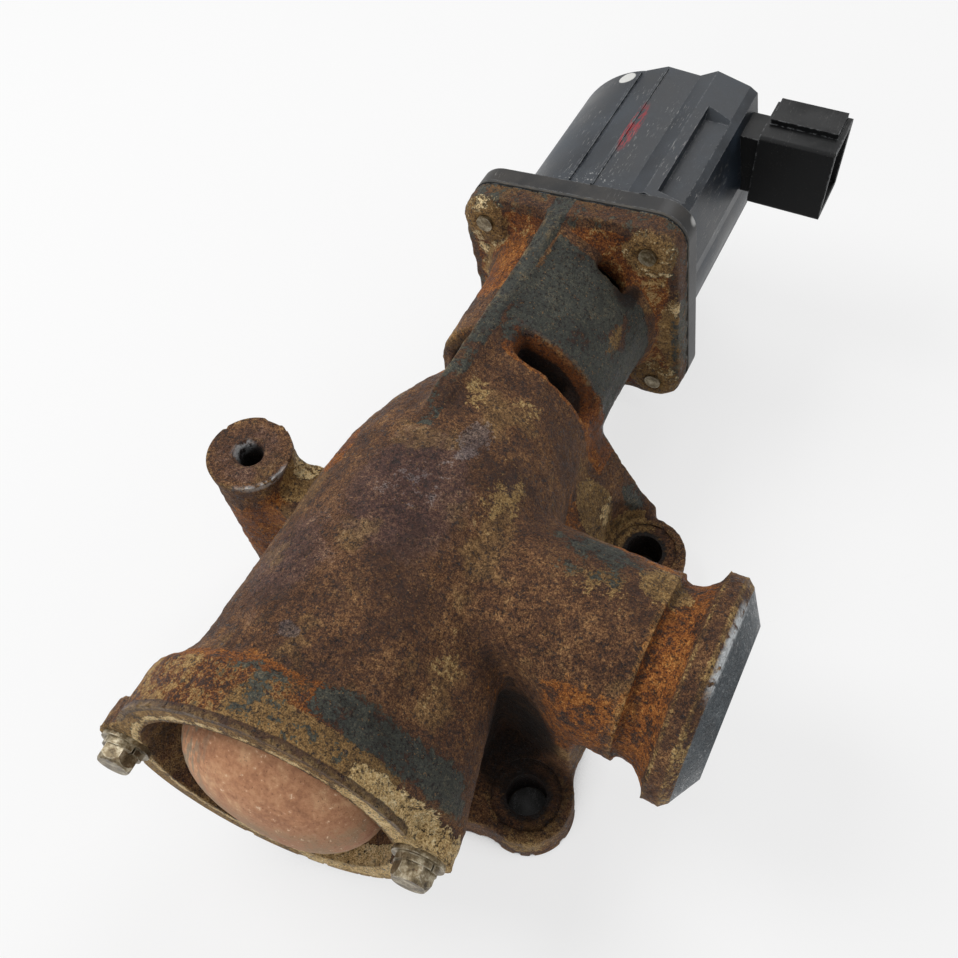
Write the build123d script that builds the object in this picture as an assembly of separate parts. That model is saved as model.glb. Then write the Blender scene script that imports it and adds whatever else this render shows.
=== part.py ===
from build123d import *
from math import cos, pi, radians, sin
import os

os.makedirs("parts", exist_ok=True)

# Millimetres. The origin lies midway between the two mounting ears' bolt holes, on the plane
# the ears stand on. +Z is up, +Y runs along the valve axis from the gas mouth to the motor,
# and +X is the way the clamped side port points.

# ---------------------------------------------------------------- driving sizes
# Mounting ears
ear_hole_r = 5.25          # clearance hole for an M10 bolt
ear_half_pitch = 39.0      # each hole's distance from the origin, along Y
ear_r = 12.4
ear_t = 13.0
ear_spot_r = 9.2           # machined seat round each hole
ear_spot_depth = 0.6

# Valve axis and the main chamber
axis_x = -46.5
axis_z = 47.0
body_r = 32.3
body_wall = 7.0
body_start = 8.3           # the barrel begins this far behind the mouth's centre
body_back = 2.0            # where the dome begins
dome_back = 50.0           # end of the gland boss, towards the motor
dome_wall_y = 46.0         # back wall of the chamber
dome_end_r = 16.0

# Gas mouth
mouth_y = -73.3
mouth_yaw = 7.0            # the mouth faces a little towards the side port ...
mouth_pitch = 7.0          # ... and a little upwards
mouth_bore_r = 31.5
mouth_rim_r = 37.6
mouth_rim_depth = 19.0
mouth_rim_slope = 6.0      # taper behind the rim, down to the barrel
mouth_throat_r = 29.3
mouth_bolt_u = 37.4        # each bolt's distance from the mouth's centre
mouth_lug_r = 7.6
mouth_lug_t = 9.0
mouth_bolt_r = 3.0         # M6
mouth_washer_r = 6.2
mouth_spot_r = 6.8         # seat milled under each bolt's washers
mouth_spot_depth = 0.4
washer_t = 1.2
lock_t = 1.5
mouth_head_r = 4.8
mouth_head_t = 3.6

# Side port
port_y = -7.2
port_pipe_r = 23.4
port_pipe_end = 18.0
port_neck_r = 21.6
port_rim_start = 26.7
port_rim_t = 5.4
port_rim_r = 28.0
port_nose_len = 5.6
port_nose_r = 18.6
port_bore_r = 16.5

# Threaded post beside the chamber
post_x = -97.0
post_y = -2.7
post_r = 11.5
post_top = 60.0
post_thread_r = 3.4        # tapping drill for M8
post_thread_depth = 22.0

# Yoke between the chamber and the motor
yoke_front = 53.0          # first face of the bell, after the open windows
yoke_front_r = 25.0
yoke_back_r = 25.5
window_r = 19.5
window_span = (14, 84)     # closed window beside the fin, degrees from +X towards +Z
shoulder_span = (-18, 112) # skin that carries on from the dome to the bell round that window
arm_spans = ((166, 206), (250, 290))   # the two other arms; the gaps between them stay open
yoke_bore_r = 19.0
yoke_shelf_t = 4.0
shelf_bore_r = 6.0         # clearance round the stem
fin_w = 5.0                # upright fin on top of the yoke
fin_left = -7.5            # its left side and its top, from the valve axis
fin_high = 32.5
vent_r = 3.3               # long opening in the bell beside the motor flange
vent_span = 6.5
vent_angle = 55.0

# Motor flange
flange_y = 91.0            # face towards the mouth
flange_t = 7.0
flange_half = 33.5
flange_corner_r = 9.0
flange_clock = 6.0         # the square is turned a little about the valve axis
screw_half_pitch = 25.2
screw_r = 2.5              # M5
screw_tip = 2.0            # how far each screw shows in front of the iron

# Valve
stem_r = 4.0
stem_end = 90.0
stem_start = 2.0           # the stem's blind hole in the head ends this far behind the seat's front
head_r = 26.2
head_length = 19.0         # the dome's height in front of its widest ring
head_crown_r = 1.5         # small flat at the dome's middle
head_fullness = 0.8        # 1 for an elliptical dome, less for fuller shoulders
head_belt = 15.0           # from the dome's widest ring back to the seat's front
head_hub_len = 16.0        # the hub's end, behind the seat's front
head_hub_wall = 3.0
seat_front = -46.0
seat_len = 8.0
seat_r = 26.5
seat_throat_r = 21.5
valve_lift = 9.0
bush_r = 7.0
bush_front = 16.0
bush_back = 44.0
gland_r = 9.5              # pocket for the stem's seal and its cap

# Return spring
spring_r = 10.5            # to the wire's centre
spring_wire_r = 1.1
spring_turns = 4.5
retainer_y = 84.0
retainer_r = 14.0
collet_r = 6.3             # small end of the keepers' taper

# Motor
gasket_t = 0.8
plate_t = 5.5
case_r = 31.5
case_len = 59.7
case_ribs = ((-9.3, -1.4), (-0.8, 1.8))    # two ridges along the top: across, and up from case_r
pocket_u = (17.6, 25.2)    # hollow along the case's top right
pocket_floor = 0.7         # its floor, over case_r
pocket_len = 43.7
lead = 3.0                 # travel of the drive screw per turn
drive_r = 4.0
rotor_start = 7.7          # from the foot to the rotor
rotor_len = 37.5
rotor_hub_r = 9.0
magnet_r = 13.8
bearing_r = 11.0
bearing_w = 6.0
journal_r = 6.0
stator_r = 24.5
stator_gap = 0.6           # air gap round the magnet

# Connector, from the valve axis and from the case's end
plug_start = 34.1
plug_len = 22.2
plug_low = 6.5
plug_h = 24.0
plug_w = 18.5
plug_inset = 1.0
plug_wall = 2.0
plug_depth = 17.0
neck_len = 6.2             # how far the connector's neck reaches into the case wall
board_gap = 2.4
pin_count = 3              # in each of two rows
pin_pitch = 5.2
pin_row_gap = 6.0
pin_half = 0.5

# Fits
running = 0.05             # sliding or turning pairs, on the radius
seated = 0.05              # pressed pairs, on the radius
apart = 0.3                # other curved faces that meet

# ---------------------------------------------------------------- derived places
body_front = mouth_y + body_start
seat_back = seat_front + seat_len
head_wide_y = seat_front - head_belt
hub_back = seat_front + head_hub_len
stem_front = seat_front + stem_start
port_nose_tip = port_rim_start + port_rim_t + port_nose_len
flange_back = flange_y + flange_t
plate_front = flange_back + gasket_t
plate_back = plate_front + plate_t
case_back = plate_back + case_len
pocket_end = plate_back + pocket_len
rotor_front = plate_back + rotor_start
rotor_back = rotor_front + rotor_len
plug_x0 = axis_x + plug_start
plug_x1 = plug_x0 + plug_len
plug_y1 = case_back - plug_inset
plug_y0 = plug_y1 - plug_w
plug_z0 = axis_z + plug_low
plug_z1 = plug_z0 + plug_h
neck_x = plug_x0 - neck_len
board_x = neck_x - board_gap
stator_y0 = plate_back + 8.0
stator_y1 = rotor_back + 0.5
stator_mid = (stator_y0 + stator_y1) / 2

TURN = Plane(origin=(axis_x, 0, axis_z), x_dir=(1, 0, 0), z_dir=(0, 0, 1))
TURN_AXIS = Axis((axis_x, 0, axis_z), (0, 1, 0))
PORT = Plane(origin=(0, port_y, axis_z), x_dir=(1, 0, 0), z_dir=(0, 0, 1))
PORT_AXIS = Axis((0, port_y, axis_z), (1, 0, 0))
yaw = radians(mouth_yaw)
pitch = radians(mouth_pitch)
MOUTH = Plane(
    origin=(axis_x, mouth_y, axis_z),
    x_dir=(cos(yaw), sin(yaw), 0),
    z_dir=(sin(yaw) * cos(pitch), -cos(yaw) * cos(pitch), sin(pitch)),
)


# ---------------------------------------------------------------- helpers
def turned(*points):
    """Solid of revolution about the valve axis, from (radius, y) points."""
    return revolve(TURN * make_face(Polyline(*points, close=True)), TURN_AXIS, 360)


def port_turned(*points):
    """Solid of revolution about the side port's axis, from (x, radius) points."""
    return revolve(PORT * make_face(Polyline(*points, close=True)), PORT_AXIS, 360)


def ring(inner, outer, y0, y1):
    return turned((inner, y0), (outer, y0), (outer, y1), (inner, y1))


def across(y):
    """Plane square to the valve axis at y: sketch X is +X and sketch Y is +Z."""
    return Plane(origin=(axis_x, y, axis_z), x_dir=(1, 0, 0), z_dir=(0, -1, 0))


def slab(sketch, y0, y1):
    """The sketch, drawn square to the valve axis, thickened from y0 to y1."""
    return extrude(across(y1) * sketch, amount=y1 - y0)


def clocked(sketch):
    return Rot(0, 0, flange_clock) * sketch


def block(x0, x1, y0, y1, z0, z1):
    return Pos((x0 + x1) / 2, (y0 + y1) / 2, (z0 + z1) / 2) * Box(x1 - x0, y1 - y0, z1 - z0)


def upright(points, z0, z1):
    """Prism with a vertical axis from (x, y) points."""
    return extrude(Pos(0, 0, z0) * make_face(Polyline(*points, close=True)), amount=z1 - z0)


def post(x, y, r, z0, z1):
    return Pos(x, y, (z0 + z1) / 2) * Cylinder(r, z1 - z0)


def square_plate(y0, y1):
    half = flange_half
    return slab(clocked(RectangleRounded(2 * half, 2 * half, flange_corner_r)), y0, y1)


def screw_places():
    p = screw_half_pitch
    return [Rot(0, 0, flange_clock) * Pos(u, w, 0) for u in (-p, p) for w in (-p, p)]


# ---------------------------------------------------------------- cast housing
def ear(side):
    """One mounting ear and the foot that joins it to the chamber."""
    y = side * ear_half_pitch
    inner = y - side * 15
    outer = y + side * (12 if side > 0 else 17)
    foot = upright(
        [(-34, inner), (-8, y - side * ear_r), (4, y - side * 9), (4, y + side * 9),
         (-8, y + side * ear_r), (-34, outer)],
        0, ear_t,
    )
    pad = post(0, y, ear_r, 0, ear_t) + foot
    return pad


def ear_gussets():
    """Webs that carry the ears: one under the side port and a tall plate behind."""
    y = -ear_half_pitch
    front = upright([(axis_x + 10, y + 1), (-10, y + 1), (8, y + 5), (8, y + 27), (axis_x + 10, y + 27)],
                    4, axis_z)
    front -= tool_pocket()
    back = extrude(
        Plane(origin=(0, ear_half_pitch + 16, 0), x_dir=(1, 0, 0), z_dir=(0, -1, 0))
        * make_face(Polyline((axis_x + 0.5, 4), (-2, 4), (-2, ear_t), (-8, ear_t + 7), (-24, axis_z),
                             (-30, axis_z + 11), (axis_x + 0.5, axis_z - 7), close=True)),
        amount=34,
    )
    return front + back - post(0, ear_half_pitch, ear_r, ear_t, axis_z + 30)


def mouth_flange():
    """Round rim with two bolt lugs, and the shoulder that swells towards the right lug."""
    straight = mouth_rim_depth - mouth_rim_slope
    rim = extrude(MOUTH * Circle(mouth_rim_r), amount=-straight)
    rim += MOUTH * Pos(0, 0, -straight - mouth_rim_slope / 2) * Cone(body_r, mouth_rim_r, mouth_rim_slope)
    lugs = Part()
    for side in (-1, 1):
        outline = Pos(side * mouth_bolt_u, 0) * Circle(mouth_lug_r) + Circle(mouth_rim_r - 9)
        lug = make_hull(outline.edges())
        lugs += extrude(MOUTH * lug, amount=-mouth_lug_t)
    start = Vector(axis_x + 13, -10, axis_z)
    finish = Vector(axis_x + 22, mouth_y + 10, axis_z)
    swell = Plane(origin=(start + finish) / 2, z_dir=finish - start) * Cone(
        18.0, 21.5, (finish - start).length)
    return rim + lugs + swell


def side_port():
    r = port_rim_r
    x = port_rim_start
    rim_end = x + port_rim_t
    return port_turned(
        (axis_x, 0), (axis_x, port_pipe_r), (port_pipe_end, port_pipe_r),
        (port_pipe_end, port_neck_r), (x - 3.5, port_neck_r + 0.6), (x, r - 2.4), (x + 0.6, r),
        (rim_end - 0.6, r), (rim_end, r - 0.6), (rim_end + 1.2, r - 1.6),
        (port_nose_tip, port_nose_r), (port_nose_tip, 0),
    )


def chamber_outside():
    """The barrel and the dome that closes it towards the motor."""
    y = body_back
    return turned(
        (0, body_front), (body_r, body_front), (body_r, y),
        (body_r - 0.8, y + 10), (body_r - 2.4, y + 18), (body_r - 4.6, y + 26), (body_r - 8.2, y + 35),
        (body_r - 12.4, dome_wall_y), (dome_end_r, dome_wall_y), (dome_end_r, dome_back), (0, dome_back),
    )


def yoke_outside():
    """The bell in front of the motor flange, its fin, its wing and the arms to the dome."""
    bell = turned((0, yoke_front), (yoke_front_r, yoke_front), (yoke_back_r, flange_y - 8),
                  (yoke_back_r + 3, flange_y), (0, flange_y))
    fin_side = make_face(Polyline(
        (body_back + 10, 18), (body_back + 10, 29), (body_back + 18, fin_high - 1.5),
        (body_back + 28, fin_high), (flange_y - 21, fin_high), (flange_y, fin_high + 1.5),
        (flange_y, 18), close=True))
    fin = extrude(Plane(origin=(axis_x + fin_left, 0, axis_z), x_dir=(0, 1, 0), z_dir=(1, 0, 0)) * fin_side,
                  amount=fin_w)
    fin_right = fin_left + fin_w
    wing_edge = make_face(Polyline(
        (fin_left, 8), (fin_left, fin_high), (fin_right, fin_high - 1.4), (4, 28.6), (14, 23.5),
        (21, 16.5), (25.5, 8), (26.5, 0), (24, -9), (14, -14), close=True))
    saddle_edge = make_face(Polyline(
        (fin_left, 8), (fin_left, fin_high), (fin_right, fin_high - 1.8), (4, 27.3), (14, 22.5),
        (14, 8), close=True))
    wing = slab(wing_edge, yoke_front - 1, flange_y)
    saddle = slab(saddle_edge, body_back + 22, yoke_front)
    shape = bell + fin + wing + saddle
    inner = window_r - 5
    front, back = dome_wall_y - 18, yoke_front + 3
    shoulder = turned((inner, front), (body_r - 4.0, front), (yoke_front_r + 0.4, dome_wall_y - 5),
                      (yoke_front_r, back), (inner, back))
    shape += shoulder & slab(sector(*shoulder_span), front, back)
    for start, finish in arm_spans:
        shape += ring(inner, window_r + 2, dome_wall_y - 6, back) & slab(sector(start, finish), front, back)
    return shape - (slab(sector(*window_span), dome_wall_y, yoke_front) - ring(0, inner, front, back))


def sector(start, finish):
    """Wedge of a disc between two angles, in degrees from +X towards +Z."""
    steps = 6
    rim = []
    for i in range(steps + 1):
        a = radians(start + (finish - start) * i / steps)
        rim.append((45 * cos(a), 45 * sin(a)))
    return make_face(Polyline((0, 0), *rim, close=True))


def tool_pocket():
    """Upright pocket over the front ear, so that a socket reaches its bolt."""
    y = -ear_half_pitch
    return upright([(-14.5, y + 15), (-6.5, y + 14.2), (3.7, y + 9.7), (12.2, y + 7.8),
                    (port_pipe_end, y + 7.4), (port_pipe_end, y - 21), (-14.5, y - 21)],
                   ear_t, axis_z + 40)


def housing():
    branch = side_port() - tool_pocket()
    body = chamber_outside() + mouth_flange() + branch + yoke_outside()
    body += ear(-1) + ear(1) + ear_gussets()
    body += post(post_x, post_y, post_r, 0, post_top)
    web = upright([(post_x, post_y - 7), (post_x, post_y + 7), (axis_x - 20, post_y + 10),
                   (axis_x - 20, post_y - 10)], 6, post_top - 8)
    body += web
    body += square_plate(flange_y, flange_back)
    for place in screw_places():
        body += slab(place * Circle(6.2), flange_y - 1.6, flange_y + 1)

    # Gas passages
    r = body_r - body_wall
    body -= turned((0, seat_back - 0.5), (r, seat_back - 0.5), (r, bush_front - 12),
                   (r - 4, bush_front - 4), (12, bush_front), (0, bush_front))
    body -= MOUTH * Pos(0, 0, -10) * Cone(mouth_throat_r - 0.7, mouth_bore_r, 20.02)
    body -= turned((0, mouth_y + 4.3), (mouth_throat_r - 4, mouth_y + 4.3),
                   (mouth_throat_r, mouth_y + 13.3), (mouth_throat_r, seat_front), (0, seat_front))
    body -= ring(0, seat_r + seated, seat_front - 1, seat_back)
    body -= port_turned((axis_x, 0), (axis_x, port_bore_r), (port_nose_tip + 1, port_bore_r),
                        (port_nose_tip + 1, 0))

    # Stem guide, gland and the spring's chamber
    body -= ring(0, bush_r + seated, bush_front - 3, bush_back)
    body -= ring(0, gland_r, bush_back, dome_back + 1)
    body -= ring(0, shelf_bore_r, yoke_front - 1, yoke_front + yoke_shelf_t + 1)
    body -= ring(0, yoke_bore_r, yoke_front + yoke_shelf_t, flange_back + 1)
    turn = radians(vent_angle)
    vent_plane = Plane(origin=(axis_x, flange_y - vent_r - 1, axis_z), z_dir=(cos(turn), 0, sin(turn)),
                       x_dir=(-sin(turn), 0, cos(turn)))
    slot = extrude(SlotCenterToCenter(vent_span, 2 * vent_r), amount=10, both=True)
    body -= vent_plane * Pos(0, 0, yoke_back_r - 0.5) * slot

    # Fastener holes
    for side in (-1, 1):
        y = side * ear_half_pitch
        body -= post(0, y, ear_hole_r, -1, ear_t + 1)
        body -= post(0, y, ear_spot_r, ear_t - ear_spot_depth, ear_t + 30)
    body -= post(post_x, post_y, post_thread_r, post_top - post_thread_depth, post_top + 1)
    body -= Pos(post_x, post_y, post_top - 0.6) * Cone(post_thread_r, post_thread_r + 1.3, 1.3)
    for u in (-mouth_bolt_u, mouth_bolt_u):
        body -= MOUTH * Pos(u, 0, 0) * Cylinder(mouth_bolt_r + seated, 2 * mouth_lug_t + 4)
        body -= MOUTH * Pos(u, 0, 0) * Cylinder(mouth_spot_r, 2 * mouth_spot_depth)
    for place in screw_places():
        body -= slab(place * Circle(screw_r + seated), flange_y - 4, flange_back + 1)
    return body


# ---------------------------------------------------------------- valve and its guides
def seat_ring():
    r = seat_throat_r
    return turned((r, seat_back - 0.2), (r, seat_front + 2.6), (r + 2.6, seat_front), (seat_r, seat_front),
                  (seat_r, seat_back - 0.2))


def stem_bush():
    return ring(stem_r + running, bush_r, bush_front, bush_back - 0.2)


def stem_seal():
    return ring(stem_r + running, gland_r - 2 * seated, bush_back + 0.1, bush_back + 4)


def seal_cap():
    r = gland_r - 2 * seated
    return turned((stem_r + 0.6, bush_back + 4.2), (r, bush_back + 4.2), (r, dome_back - 0.3),
                  (stem_r + 2, dome_back - 0.3), (stem_r + 0.6, dome_back - 0.8))


def valve_head():
    """Domed head with a 45 degree seat face and a hub for the stem."""
    steps = 12
    hub_r = stem_r + head_hub_wall
    tip = head_wide_y - head_length
    points = [(0, tip), (head_crown_r, tip)]
    for i in range(1, steps + 1):
        a = pi / 2 * i / steps
        forward = head_length * abs(cos(a)) ** head_fullness
        points.append((head_r * sin(a) ** head_fullness, head_wide_y - forward))
    face = seat_front - apart * 1.42
    points += [(head_r, face - 1.8), (seat_throat_r + 2.6, face), (seat_throat_r - 0.4, face + 3.0),
               (hub_r + 3, hub_back - 8), (hub_r, hub_back - 4), (hub_r, hub_back), (0, hub_back)]
    return turned(*points) - ring(0, stem_r + seated, stem_front, hub_back + 1)


def valve_stem():
    front = stem_front + 0.2
    groove = retainer_y + 1.5
    return turned((0, front), (stem_r, front), (stem_r, groove), (stem_r - 0.8, groove),
                  (stem_r - 0.8, groove + 2), (stem_r, groove + 2), (stem_r, stem_end - 1),
                  (stem_r - 1, stem_end), (0, stem_end))


def spring_seat():
    y = yoke_front + yoke_shelf_t
    inner = shelf_bore_r + 0.2
    rim = spring_r + 2.5
    lip = spring_r - 1.9
    return turned((inner, y + 0.1), (rim, y + 0.1), (rim, y + 3.2), (rim - 0.8, y + 3.2),
                  (rim - 0.8, y + 1.6), (lip, y + 1.6), (lip, y + 3.2), (inner, y + 3.2))


def return_spring():
    y0 = yoke_front + yoke_shelf_t + 1.7 + spring_wire_r
    y1 = retainer_y - spring_wire_r - 0.1
    height = y1 - y0
    coil = Helix(pitch=height / spring_turns, height=height, radius=spring_r)
    start = coil.position_at(0)
    section = Plane(origin=start, z_dir=coil.tangent_at(0)) * Circle(spring_wire_r)
    wire = sweep(section, path=coil, is_frenet=True)
    return Pos(axis_x, y0, axis_z) * Rot(-90, 0, 0) * wire


def spring_retainer():
    y = retainer_y
    return turned((collet_r + apart, y), (retainer_r, y), (retainer_r, y + 1.8), (collet_r + 3.2, y + 1.8),
                  (collet_r + 2.7, y + 4.5), (collet_r + 1.1, y + 4.5))


def keepers():
    """Two half collets that lock the retainer on the stem."""
    y = retainer_y
    cone = turned((stem_r + seated, y + 0.2), (collet_r, y + 0.2), (collet_r + 0.75, y + 4.3),
                  (stem_r + seated, y + 4.3))
    cone += ring(stem_r - 0.7, stem_r + 1, y + 1.6, y + 3.4)
    slot = block(axis_x - 12, axis_x + 12, y - 1, y + 6, axis_z - 0.4, axis_z + 0.4)
    return cone - slot


def mouth_stack(shape, low, high):
    """The shape at both mouth bolts, from low to high over their milled seats."""
    sides = (-mouth_bolt_u, mouth_bolt_u)
    return [extrude(MOUTH * Pos(u, 0, low - mouth_spot_depth) * shape, amount=high - low) for u in sides]


def mouth_washers():
    flat = Circle(mouth_washer_r) - Circle(mouth_bolt_r + 0.3)
    return Compound(children=mouth_stack(flat, 0, washer_t))


def mouth_lock_washers():
    split = Circle(mouth_washer_r - 1.2) - Circle(mouth_bolt_r + 0.3)
    split -= Rot(0, 0, 35) * Pos(5, 0) * Rectangle(6, 0.5)
    return Compound(children=mouth_stack(split, washer_t, washer_t + lock_t))


def mouth_bolts():
    """Two hexagon bolts left in the mouth's lugs, each with a chamfered head."""
    base = washer_t + lock_t - mouth_spot_depth
    bolts = []
    for u in (-mouth_bolt_u, mouth_bolt_u):
        head = extrude(MOUTH * Pos(u, 0, base) * RegularPolygon(mouth_head_r, 6), amount=mouth_head_t)
        cone = MOUTH * Pos(u, 0, base + mouth_head_t / 2) * Cone(mouth_head_r + 1.2, mouth_head_r - 0.9,
                                                                mouth_head_t)
        shank = extrude(MOUTH * Pos(u, 0, base) * Circle(mouth_bolt_r), amount=-base - mouth_lug_t + 1)
        bolts.append((head & cone) + shank)
    return Compound(children=bolts)


# ---------------------------------------------------------------- motor
def flange_gasket():
    sheet = square_plate(flange_back, plate_front)
    sheet -= ring(0, yoke_bore_r + 0.6, flange_back - 1, plate_front + 1)
    for place in screw_places():
        sheet -= slab(place * Circle(screw_r + 0.4), flange_back - 1, plate_front + 1)
    return sheet


def drive_flats(extra):
    return Rectangle(2 * (drive_r - 0.9 + extra), 4 * drive_r)


def base_plate():
    """Motor foot: square plate, spigot into the iron and the guide for the drive screw."""
    plate = square_plate(plate_front, plate_back)
    plate += ring(0, yoke_bore_r - running, flange_y + 1, plate_front)
    plate += ring(journal_r + 1.2, bearing_r + 2.2, plate_back, rotor_front - bearing_w)
    plate += ring(bearing_r + seated, bearing_r + 2.2, plate_back, rotor_front - 1)
    plate += ring(stator_r - 3, stator_r - apart, plate_back, stator_y0 - 0.2)
    plate -= ring(0, 12.0, flange_y, flange_back - 3)
    plate -= slab(Circle(drive_r + running) & drive_flats(running), flange_y, plate_back + 4)
    for place in screw_places():
        plate -= slab(place * Circle(screw_r + 0.3), plate_front - 1, plate_back + 1)
        head = Plane(origin=(axis_x, plate_back - 1.35, axis_z), x_dir=(1, 0, 0), z_dir=(0, 1, 0))
        plate -= head * mirrored(place) * Cone(screw_r + 0.1, screw_r + 2.5, 2.8)
    groove = ring(case_r - 4.6, case_r - 2.2, plate_back - 1.8, plate_back + 1)
    return plate - groove


def mirrored(place):
    """The same screw place, seen on a plane whose sketch Y points down."""
    p = place.position
    return Pos(p.X, -p.Y, 0)


def flange_screws():
    """Four countersunk screws, from the motor side into the iron flange."""
    screws = []
    for place in screw_places():
        shank = slab(place * Circle(screw_r), flange_y - screw_tip, plate_back - 2.4)
        head = Plane(origin=(axis_x, plate_back - 1.45, axis_z), x_dir=(1, 0, 0), z_dir=(0, 1, 0))
        cone = head * mirrored(place) * Cone(screw_r, screw_r + 2.1, 2.5)
        slot = slab(place * Rectangle(6, 1.1), plate_back - 1.2, plate_back + 1)
        screws.append(shank + cone - slot)
    return Compound(children=screws)


def case_ring():
    """Seal ring between the motor case and its foot."""
    r = case_r - 3.4
    section = TURN * Pos(r, plate_back - 0.9) * Circle(0.8)
    return revolve(section, TURN_AXIS, 360)


def case_outline():
    """Round on the left, stepped pads on top and flat sided on the right."""
    r = case_r
    steps = Polyline((-9, 20), (-7.8, r - 0.9), (-1.0, r + 2.1), (9.4, r + 1.5), (14.6, r + 4.3),
                     (25.0, r + 1.7), (27.5, r + 0.1), (r - 0.5, 11.5), (r - 0.9, -9), (25, -20),
                     (0, -20), (0, 20), close=True)
    return Circle(r) + make_face(steps)


def case_pocket():
    """Hollow beside the top ridge, with a floor that climbs out at its rear end."""
    near, far = pocket_u
    front = plate_back + 3
    floor = case_r + pocket_floor
    side = make_face(Polyline((front, floor), (pocket_end - 4, floor), (pocket_end, floor + 4),
                              (front, floor + 4), close=True))
    return extrude(Plane(origin=(axis_x + near, 0, axis_z), x_dir=(0, 1, 0), z_dir=(1, 0, 0)) * side,
                   amount=far - near)


def motor_case():
    case = slab(case_outline(), plate_back, case_back)
    case = chamfer(case.faces().sort_by(Axis.Y)[-1].edges(), 1.6)
    for u, up in case_ribs:
        case += slab(Pos(u, case_r + up) * Rectangle(0.9, 1.4), plate_back, case_back - 3)
    case -= case_pocket()
    r = stator_r + seated
    case -= ring(0, r, plate_back - 1, rotor_back + 0.7)
    case -= ring(0, bearing_r + seated, plate_back, rotor_back + 0.7 + bearing_w + 0.2)
    case -= ring(0, journal_r + 1, plate_back, case_back - 1.5)
    duct = block(board_x - 1.2, axis_x + case_r + 4, plug_y0 + 2.4, plug_y1 - 3.9,
                 plug_z0 + 1.9, plug_z1 - 2.9)
    return case - duct


def bearing(y0):
    """Shielded ball bearing, its two races joined by the shield."""
    y1 = y0 + bearing_w
    return turned((journal_r + running, y0), (journal_r + 1.8, y0), (journal_r + 1.9, y0 + 0.5),
                  (bearing_r - 1.9, y0 + 0.5), (bearing_r - 1.8, y0), (bearing_r, y0),
                  (bearing_r, y1), (bearing_r - 1.8, y1), (bearing_r - 1.9, y1 - 0.5),
                  (journal_r + 1.9, y1 - 0.5), (journal_r + 1.8, y1), (journal_r + running, y1))


def rotor_hub():
    """Nut of the drive screw, with a journal at each end."""
    y0 = rotor_front
    y1 = rotor_back
    end = bearing_w - 0.3
    hub = turned((0, y0 - end), (journal_r, y0 - end), (journal_r, y0), (rotor_hub_r, y0),
                 (rotor_hub_r, y1), (journal_r, y1), (journal_r, y1 + end), (0, y1 + end))
    return hub - ring(0, drive_r + running, y0 - end - 1, y1 + end + 1)


def rotor_magnet():
    """Ring magnet with a key groove at each pole."""
    magnet = ring(rotor_hub_r + seated, magnet_r, rotor_front + 2, rotor_back - 2)
    for i in range(12):
        groove = Rot(0, 0, 30 * i) * Pos(magnet_r, 0) * Circle(0.6)
        magnet -= slab(groove, rotor_front, rotor_back)
    return magnet


def drive_screw():
    """Threaded rod with two flats; it slides through its guide while the nut turns."""
    tip = stem_end + 0.3
    thread_start = rotor_front + 6
    back = rotor_back + 2
    points = [(0, tip), (2.2, tip), (drive_r, tip + 1.8), (drive_r, thread_start)]
    y = thread_start
    while y + lead < back:
        points += [(drive_r, y + 1.2), (drive_r - 0.8, y + 1.5), (drive_r - 0.8, y + 2.7),
                   (drive_r, y + lead)]
        y += lead
    points += [(drive_r, back), (0, back)]
    rod = turned(*points)
    flats = slab(Rectangle(4 * drive_r, 4 * drive_r) - drive_flats(0), tip - 1, thread_start)
    return rod - flats


def stator_core(y0, y1):
    """Claw-pole ring: a shell, two cheeks and teeth round the magnet."""
    inner = magnet_r + stator_gap
    core = ring(inner, stator_r, y0, y1) - ring(inner + 1.4, stator_r - 2.6, y0 + 1.4, y1 - 1.4)
    for i in range(12):
        gap = Rot(0, 0, 30 * i + 15) * Pos(inner + 0.7, 0) * Rectangle(3.2, 1.6)
        core -= slab(gap, y0 + 1.4, y1 - 1.4)
    return core


def coil(y0, y1):
    inner = magnet_r + stator_gap + 1.8
    return ring(inner, stator_r - 2.9, y0 + 1.7, y1 - 1.7)


# ---------------------------------------------------------------- connector
def pin_places():
    y_mid = (plug_y0 + plug_y1) / 2
    z_mid = (plug_z0 + plug_z1) / 2
    return [(y_mid + row * pin_row_gap / 2, z_mid + (i - (pin_count - 1) / 2) * pin_pitch)
            for i in range(pin_count) for row in (-1, 1)]


def connector_shell():
    """Rectangular socket that opens towards +X, with a neck into the motor case."""
    w = plug_wall
    shell = block(plug_x0, plug_x1, plug_y0, plug_y1, plug_z0, plug_z1)
    shell = fillet(shell.edges().filter_by(Axis.X), 1.2)
    rail = block(plug_x0 + 1, plug_x1 - 1.5, plug_y0 + 7, plug_y1 - 1.0, plug_z1 - 0.5, plug_z1 + 1.6)
    neck = block(neck_x, plug_x0 + 1, plug_y0 + 2.5, plug_y1 - 4, plug_z0 + 2, plug_z1 - 3)
    body = shell + rail + neck
    body -= block(plug_x1 - plug_depth, plug_x1 + 1, plug_y0 + w, plug_y1 - w, plug_z0 + w, plug_z1 - w)
    for y, z in pin_places():
        body -= block(neck_x - 1, plug_x1 - plug_depth + 1, y - pin_half - 0.05, y + pin_half + 0.05,
                      z - pin_half - 0.05, z + pin_half + 0.05)
    return body


def terminals():
    """Six square pins, in two rows."""
    pins = [block(neck_x - 1.5, plug_x1 - 5.5, y - pin_half, y + pin_half, z - pin_half, z + pin_half)
            for y, z in pin_places()]
    return Compound(children=pins)


def connector_seal():
    """Rubber frame at the socket's floor that the plug presses on."""
    w = plug_wall
    x = plug_x1 - plug_depth
    gap = w + 0.1
    bar = w + 1.8
    outer = block(x + 0.05, x + 2.2, plug_y0 + gap, plug_y1 - gap, plug_z0 + gap, plug_z1 - gap)
    inner = block(x - 1, x + 3, plug_y0 + bar, plug_y1 - bar, plug_z0 + bar, plug_z1 - bar)
    return outer - inner


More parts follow.
